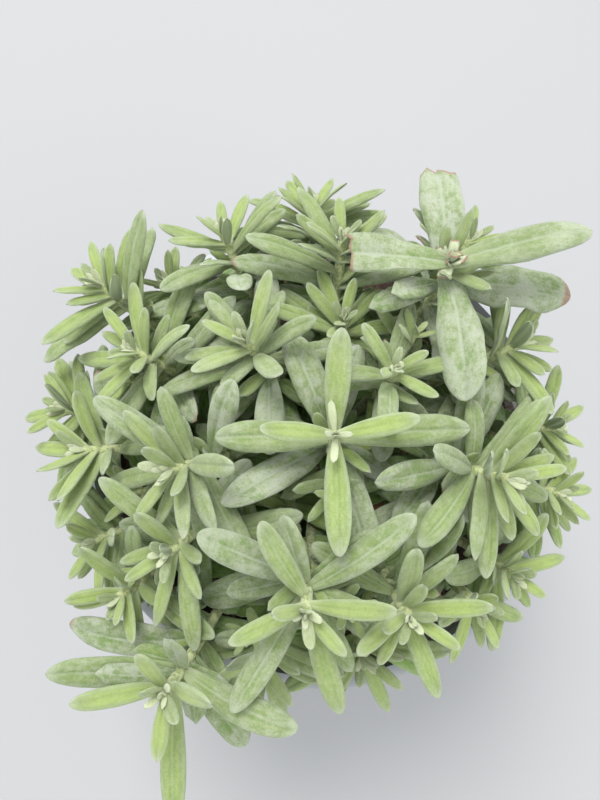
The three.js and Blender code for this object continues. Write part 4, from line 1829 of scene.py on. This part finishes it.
# Age, brightness of the young green and mealiness by the leaf's stage, from the growing tip down
AGES = (0.3, 0.1, 0.2, 0.38, 0.55, 0.7, 0.84, 0.92, 1.0, 1.0)
LIMES = (0.12, 0.9, 0.85, 0.55, 0.32, 0.18, 0.1, 0.06, 0.0, 0.0)
MEALS = (0.4, 0.3, 0.34, 0.42, 0.5, 0.6, 0.68, 0.62, 0.5, 0.4)
LIME_SPREAD = (0.75, 1.2)
MEAL_SPREAD = (0.7, 1.3)

# The small leaves' ages, and a twig's leaf's age against a plain one's of its stage
KIND_AGES = {LeafKind.APEX: 0.0, LeafKind.AXIL: 0.2, LeafKind.SKIRT: 0.8}
TWIG_AGE = 0.6

# The small leaves' brightness and mealiness
AXIL_LIME = 0.8
AXIL_MEAL = 0.25
TWIG_LIME = 0.9
TWIG_LIME_FALL = 0.1
TWIG_MEAL = 0.35
SMALL_LIME_SPREAD = (0.6, 1.1)
SKIRT_LIMES = (0.0, 0.4)
SKIRT_MEALS = (0.1, 0.7)
APEX_LIME = 0.3
APEX_MEAL = 0.8
BETWEEN_LIME = 0.7

# The down on the youngest pairs after the first, which the shoot's row gives, and on the smallest leaves
NEXT_DOWN = (0.08, 0.04)
APEX_DOWN = 0.8

# The mealiness at a blade's root, its rise to the tip, and how much of it is taken away inside the bush as
# painted shade
MEAL_AT_ROOT = 0.6
MEAL_RISE = 0.5
MEAL_PAINTED_AWAY_INSIDE = 0.85

# Dry tips: the first stage that may have one, where it starts on the blade, over which length, and how much
# further it reaches at the margins than in the middle
DRY_STAGE = 5
DRY_FROM = 0.9
DRY_OVER = 0.1
DRY_MARGIN = 0.4
DRY_MIDDLE = 0.3
WORN_REACH = {Wear.TORN: 0.04, Wear.CURLED: 0.04, Wear.BROWN_TIP: 0.1}
WORN_MARGIN = 0.3

# How far off the middle an underside shows as one
UNDER_WITHIN = 0.97

# A stem's and a twig's radii at the root, the curve's start and the tip, in millimetres, and their steps
STEM_RADII = (1.3, 1.3, 1.15)
STEM_STEPS = 18
TWIG_RADII = (0.7, 0.7, 0.5)
TWIG_STEPS = 8
STEM_ROUNDNESS = 2

# What the leaves' material reads: place on the blade, tone, state and growth
ATTRIBUTES = ("blade", "tone", "state", "growth")

# The dome that the bush's outside roughly follows: under it the colour paints the light inside the bush, a
# brighter glowing green and less of the pale meal and edge as painted shade
DOME_TOP = 143.0
DOME_FALL = 0.0055
DOME_DEPTH = 22.0


@dataclass
class LeafyShoot:
    """One shoot: its tapering stem and all of its leaves, as one mesh."""

    row: ShootRow
    index: int
    curve: StemCurve
    twigs: list[StemCurve]
    leaves: list[Leaf]
    masters: dict[LeafKind, BladeMaster]
    draws: np.random.Generator

    def build(self, finishes: Sequence[bpy.types.Material]) -> bpy.types.Object:
        """Makes and dresses the shoot.

        Args:
            finishes: The materials of the leaves and of the stem.

        Returns:
            The finished piece.
        """
        made, faces = [], []
        count = 0
        for leaf in [*self.leaves, *self.apex()]:
            master = self.masters[leaf.kind]
            made.append(self.bent(leaf, master))
            faces += (master.faces + count).tolist()
            count += len(made[-1][0])
        name = f"lavender_{self.row.name}"
        mesh = bpy.data.meshes.new(name)
        points, *marks = (np.concatenate(rows) for rows in zip(*made, strict=True))
        mesh.from_pydata((points * MM).tolist(), [], faces)
        for label, values in zip(ATTRIBUTES, marks, strict=True):
            mark(mesh, label, values)
        for finish in finishes:
            mesh.materials.append(finish)
        thing = bpy.data.objects.new(name, mesh)
        bpy.context.scene.collection.objects.link(thing)
        thing = joined([thing, *self.stems(finishes)], name)
        activate(thing)
        bpy.ops.object.shade_smooth()
        return thing

    def apex(self) -> list[Leaf]:
        """The smallest leaves, at the growing tip.

        Returns:
            Three pairs of leaves, or curled scraps where the tip has been lost.
        """
        root = (self.curve.point(APEX_AT), self.curve.tangent(APEX_AT))
        if self.row.tipless:
            return [SCRAP.leaf((self.index, 0, 0), root, turn, self.draws) for turn in SCRAP_TURNS]
        leaves = []
        for rank, plain in enumerate(APEX_STAGES):
            length = plain.length * self.row.size * self.row.bud
            stage = replace(plain, length=length, opening=plain.opening * self.row.bud**2)
            for side in range(2):
                azimuth = self.row.pairs[0] + 90 * (rank + 1) + 180 * side
                leaves.append(AT_TIP.leaf((self.index, 0, side), root, azimuth, self.draws, stage))
        return leaves

    def bent(self, leaf: Leaf, master: BladeMaster) -> tuple[np.ndarray, ...]:
        """Bends a copy of a flat blade to a leaf's place and form.

        Args:
            leaf: The leaf.
            master: The flat blade.

        Returns:
            The vertices in millimetres, and the attributes that the material reads.
        """
        draws, ragged = self.draws, self.row.ragged
        stage = min(self.row.first + leaf.rank, len(STAGES) - 1)
        age = KIND_AGES.get(leaf.kind, AGES[stage] * (TWIG_AGE if leaf.kind is LeafKind.TWIG else 1))
        age = float(np.clip(age + draws.uniform(*STRAY.age), 0, 1))
        form = BladeForm(age)
        off, under = master.off, master.under
        end = np.ones_like(off)
        if leaf.wear in TORN_SHARE:
            spots = np.sort(np.concatenate([[-1, 1], draws.uniform(-1, 1, STRAY.corners)]))
            end = TORN_SHARE[leaf.wear] + np.interp(off, spots, draws.uniform(*STRAY.tear, len(spots)))
        along = master.along * end
        point, across, normal, _ = leaf.frames(along)
        half = leaf.width / 2 * fine_outline(along, age)
        ripple = np.sin(TWO_PI * (along * draws.uniform(*STRAY.ripples) + draws.uniform()))
        half = half * (1 + draws.uniform(*STRAY.ripple) * ragged * age * ripple)
        out, rise, slope = form.at(off)
        lean = 1 + draws.uniform(*STRAY.uneven) * np.sign(off)
        wave = draws.uniform(*STRAY.wave) * age * ragged * np.abs(off) ** STRAY.wave_power
        phase = TWO_PI * (along * draws.uniform(*STRAY.waves) + draws.uniform())
        wave = wave * np.sin(phase + np.sign(off) * draws.uniform(*STRAY.wave_shift))
        thick = THICKNESS.at(off, along, half, age)
        sway = draws.uniform(*STRAY.sway) * leaf.length * along**2
        twist = np.radians(draws.uniform(*STRAY.twist)) * along**STRAY.twist_power
        droop = np.clip((along - STRAY.droop_from) / STRAY.droop_over, 0, 1)
        droop = draws.uniform(*STRAY.droop) * leaf.length * droop**2
        fold = draws.uniform(*STRAY.fold) * (1 - age)
        height = FACE_HEIGHT + half * (rise + wave + fold * np.abs(off)) - droop
        if leaf.wear in CURLS:
            height = height + CURL_HEIGHT * half * np.abs(off) ** 2 * CURLS[leaf.wear]
        side = out * half * lean + sway
        # the underside lies a thickness under the face, square to its slope
        side = side + under * thick * np.sin(slope) * np.sign(off)
        height = height - under * thick * np.cos(slope)
        side, height = (
            sway + (side - sway) * np.cos(twist) - height * np.sin(twist),
            height * np.cos(twist) + (side - sway) * np.sin(twist),
        )
        place = point + side[:, None] * across + height[:, None] * normal
        return place, *self.toned(leaf, master, along, stage, age, place)

    def toned(
        self, leaf: Leaf, master: BladeMaster, along: np.ndarray, stage: int, age: float, place: np.ndarray
    ) -> tuple[np.ndarray, np.ndarray, np.ndarray, np.ndarray]:
        """Works out what the material reads from a leaf's vertices.

        Args:
            leaf: The leaf.
            master: The flat blade.
            along: The vertices' places along the blade.
            stage: The leaf's stage of growth.
            age: The leaf's age from 0 to 1.
            place: The vertices, in millimetres.

        Returns:
            The attributes "blade", "tone", "state" and "growth".
        """
        draws, row = self.draws, self.row
        ones = np.ones_like(along)
        lime = LIMES[stage] * row.lime * draws.uniform(*LIME_SPREAD)
        mealy = MEALS[stage] * row.mealy * draws.uniform(*MEAL_SPREAD)
        match leaf.kind:
            case LeafKind.AXIL:
                lime, mealy = AXIL_LIME * row.lime * draws.uniform(*SMALL_LIME_SPREAD), AXIL_MEAL
            case LeafKind.TWIG:
                lime = (TWIG_LIME - TWIG_LIME_FALL * stage) * draws.uniform(*SMALL_LIME_SPREAD)
                mealy = TWIG_MEAL
            case LeafKind.SKIRT:
                lime, mealy = draws.uniform(*SKIRT_LIMES), draws.uniform(*SKIRT_MEALS)
            case LeafKind.APEX:
                lime, mealy = APEX_LIME, APEX_MEAL
            case LeafKind.BETWEEN:
                lime = lime * BETWEEN_LIME
        downs = (row.downy, *NEXT_DOWN)
        downy = downs[stage] if stage < len(downs) else 0.0
        if leaf.kind is LeafKind.APEX:
            downy = APEX_DOWN
        # how deep a vertex lies under the bush's outside: there the meal is taken away as painted shade, and
        # the material paints a brighter glowing green
        dome = DOME_TOP - DOME_FALL * (place[:, 0] ** 2 + place[:, 1] ** 2)
        depth = np.clip((dome - place[:, 2]) / DOME_DEPTH, 0, 1)
        mealy = mealy * (1 - MEAL_PAINTED_AWAY_INSIDE * depth) * (MEAL_AT_ROOT + MEAL_RISE * along)
        dry = self.dryness(leaf, master, stage)
        under = master.under * (np.abs(master.off) < UNDER_WITHIN)
        return (
            np.stack([master.off, along, ones * draws.uniform()], axis=1),
            np.stack([ones * min(1, lime), np.minimum(1, mealy), depth], axis=1),
            np.stack([dry, under, ones * leaf.length], axis=1),
            np.stack([ones * age, ones * downy, ones * leaf.width], axis=1),
        )

    def dryness(self, leaf: Leaf, master: BladeMaster, stage: int) -> np.ndarray:
        """How dry a leaf is at its vertices.

        Args:
            leaf: The leaf.
            master: The flat blade.
            stage: The leaf's stage of growth.

        Returns:
            A number from 0 to 1 for each vertex.
        """
        along, margin = master.along, np.abs(master.off)
        if leaf.wear is Wear.WITHERED:
            return np.ones_like(along)
        if leaf.wear in WORN_REACH:
            reach = WORN_REACH[leaf.wear]
            return np.clip((along - 1 + reach) / reach + WORN_MARGIN * margin, 0, 1) * (along > 1 - reach)
        if stage >= DRY_STAGE and self.draws.uniform() < BROWN_SHARE:
            return np.clip((along - DRY_FROM) / DRY_OVER + DRY_MARGIN * margin - DRY_MIDDLE, 0, 1)
        return np.zeros_like(along)

    def stems(self, finishes: Sequence[bpy.types.Material]) -> list[bpy.types.Object]:
        """The shoot's own stem and those of its twigs.

        Args:
            finishes: The materials of the leaves and of the stem.

        Returns:
            One object for each.
        """
        foot = self.curve.ends[0]
        root = foot - (HOLE_DEPTH + SOIL_DOME - FIT_GAP) * UPRIGHT
        made = [self.rod([root, root - UPRIGHT, root + UPRIGHT], self.curve, STEM_RADII, finishes[1])]
        for twig in self.twigs:
            made.append(self.rod(None, twig, TWIG_RADII, finishes[1]))
        return made

    def rod(
        self,
        root: list[np.ndarray] | None,
        curve: StemCurve,
        radii: tuple[float, float, float],
        finish: bpy.types.Material,
    ) -> bpy.types.Object:
        """A stem, drawn as a curve that tapers and made a mesh.

        Args:
            root: A point before the curve and its two handles, where the stem goes on into the soil.
            curve: The stem's middle line.
            radii: Its radius at the root, at the curve's start and at its tip, in millimetres.
            finish: Its material.

        Returns:
            The stem.
        """
        deselect()
        bpy.ops.curve.primitive_bezier_curve_add()
        data = bpy.context.object.data
        data.dimensions = "3D"
        data.bevel_depth = MM
        data.bevel_resolution = STEM_ROUNDNESS
        data.use_fill_caps = True
        spline = data.splines[0]
        spline.resolution_u = STEM_STEPS if root else TWIG_STEPS
        foot, rise, arrive, tip = curve.ends
        rows = [
            (foot, foot - unit(rise - foot), rise, radii[1]),
            (tip, arrive, tip + unit(tip - arrive), radii[2]),
        ]
        if root:
            spline.bezier_points.add(1)
            rows.insert(0, (*root, radii[0]))
        for knot, (place, before, after, radius) in zip(spline.bezier_points, rows, strict=True):
            knot.handle_left_type = knot.handle_right_type = "FREE"
            knot.co, knot.handle_left, knot.handle_right = place * MM, before * MM, after * MM
            knot.radius = radius
        bpy.ops.object.convert(target="MESH")
        mesh = bpy.context.object.data
        points = coordinates(mesh)
        low = SOIL_TOP + SOIL_DOME
        along = np.clip((points[:, 2] / MM - low) / (self.curve.ends[3][2] - low), 0, 1)
        zeros = np.zeros_like(along)
        mark(mesh, "blade", np.stack([zeros, along, zeros], axis=1))
        for label in ATTRIBUTES[1:]:
            mark(mesh, label, np.zeros((len(points), 3)))
        mesh.materials.clear()
        mesh.materials.append(finish)
        return bpy.context.object


@dataclass(frozen=True)
class Lamp:
    """A square soft light: its name, its place and side in metres, and its strength in watts."""

    name: str
    at: tuple[float, float, float]
    side: float
    watts: float


@dataclass
class Studio:
    """The pale floor, the soft light and the camera."""

    camera_at: tuple[float, float, float] = (-0.0051, -0.0461, 0.2765)
    camera_tilt: float = 18.0
    lens: float = 28.8
    sensor: float = 36.0
    nearest: float = 0.005
    floor_side: float = 4.0
    floor_scale: float = 2.0
    floor_tones: tuple = ((0.38, 0.38, 0.385), (0.41, 0.41, 0.415))
    lamps: tuple[Lamp, ...] = (
        Lamp("key_light", (-0.15, 0.35, 1.05), 0.45, 9.4),
        Lamp("fill_light", (0.7, -0.6, 0.7), 0.8, 3.0),
    )
    lit: tuple[float, float, float] = (0, 0, 0.1)
    sky: tuple[float, float, float, float] = (0.95, 0.98, 1.0, 1.0)
    sky_strength: float = 1.14

    def build(self) -> None:
        """Sets up the floor, the lights and the camera."""
        deselect()
        bpy.ops.mesh.primitive_plane_add(size=self.floor_side)
        floor = bpy.context.object
        floor.name = "studio_floor"
        bench = Bench("studio_floor")
        body = bench.mix(bench.noise(self.floor_scale), *self.floor_tones)
        floor.data.materials.append(bench.finished({"Base Color": body, "Roughness": 0.9}))
        for lamp in self.lamps:
            self.light(lamp)
        world = bpy.data.worlds.new("studio")
        world.use_nodes = True
        background = world.node_tree.nodes["Background"]
        background.inputs[0].default_value = self.sky
        background.inputs[1].default_value = self.sky_strength
        scene = bpy.context.scene
        scene.world = world
        scene.view_settings.view_transform = "Standard"
        deselect()
        bpy.ops.object.camera_add(location=self.camera_at, rotation=(math.radians(self.camera_tilt), 0, 0))
        camera = bpy.context.object
        camera.name = "photo_camera"
        camera.data.lens = self.lens
        camera.data.sensor_width = self.sensor
        camera.data.clip_start = self.nearest
        scene.camera = camera

    def light(self, lamp: Lamp) -> None:
        """Adds a light that faces the plant.

        Args:
            lamp: The light.
        """
        deselect()
        bpy.ops.object.light_add(type="AREA", location=lamp.at)
        made = bpy.context.object
        made.name = lamp.name
        made.data.size = lamp.side
        made.data.energy = lamp.watts
        way = np.array(lamp.at) - np.array(self.lit)
        flat = math.hypot(way[0], way[1])
        made.rotation_euler = (math.atan2(flat, way[2]), 0, math.atan2(way[0], -way[1]))


# The flat blades' columns, from the middle to a margin, and their rows from the root to the tip
BROAD_GRID = (
    (0, 0.1, 0.3, 0.56, 0.78, 0.92, 1),
    (0, 0.08, 0.18, 0.3, 0.42, 0.54, 0.65, 0.75, 0.84, 0.91, 0.96, 0.988, 0.9995),
)
MIDDLE_GRID = ((0, 0.14, 0.5, 0.84, 1), (0, 0.12, 0.28, 0.44, 0.6, 0.75, 0.87, 0.95, 0.9995))
SMALL_GRID = ((0, 0.45, 0.86, 1), (0, 0.2, 0.45, 0.68, 0.87, 0.9995))


def main() -> None:
    """Builds the plant, its pot and soil, and the studio, and puts each piece on the frame."""
    logging.basicConfig(level=logging.INFO, format="%(name)s: %(message)s")
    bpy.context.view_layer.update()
    Studio().build()
    growth = Growth(SHOOTS)
    growth.grow()
    log.info("leaves as in the solids: %d", len(growth.leaves))
    growth.grow_small()
    growth.wither()
    log.info("with the small ones: %d", len(growth.leaves))
    masters = dict.fromkeys(LeafKind, BladeMaster(*SMALL_GRID))
    masters[LeafKind.BLADE] = BladeMaster(*BROAD_GRID)
    masters[LeafKind.BETWEEN] = BladeMaster(*MIDDLE_GRID)
    finishes = (BladeFinish().material(), StemFinish().material())
    for index, row in enumerate(SHOOTS):
        own = [leaf for leaf in growth.leaves if leaf.shoot == index]
        draws = np.random.default_rng(SEED + index)
        twigs = [twig for owner, twig in growth.twigs if owner == index]
        piece = LeafyShoot(row, index, growth.curves[index], twigs, own, masters, draws).build(finishes)
        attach(piece, "root")
        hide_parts(f"shoot_{row.name}")
        log.info("%s: %d leaves, %d faces", piece.name, len(own), len(piece.data.polygons))
    for piece, node, slot in ((NurseryPot().build(), "pot", "pot"), (Soil().build(), "soil", "soil")):
        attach(piece, "root")
        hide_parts(node)
        log.info("%s: %d faces", piece.name, len(piece.data.polygons))
    deselect()


if __name__ == "__main__":
    main()
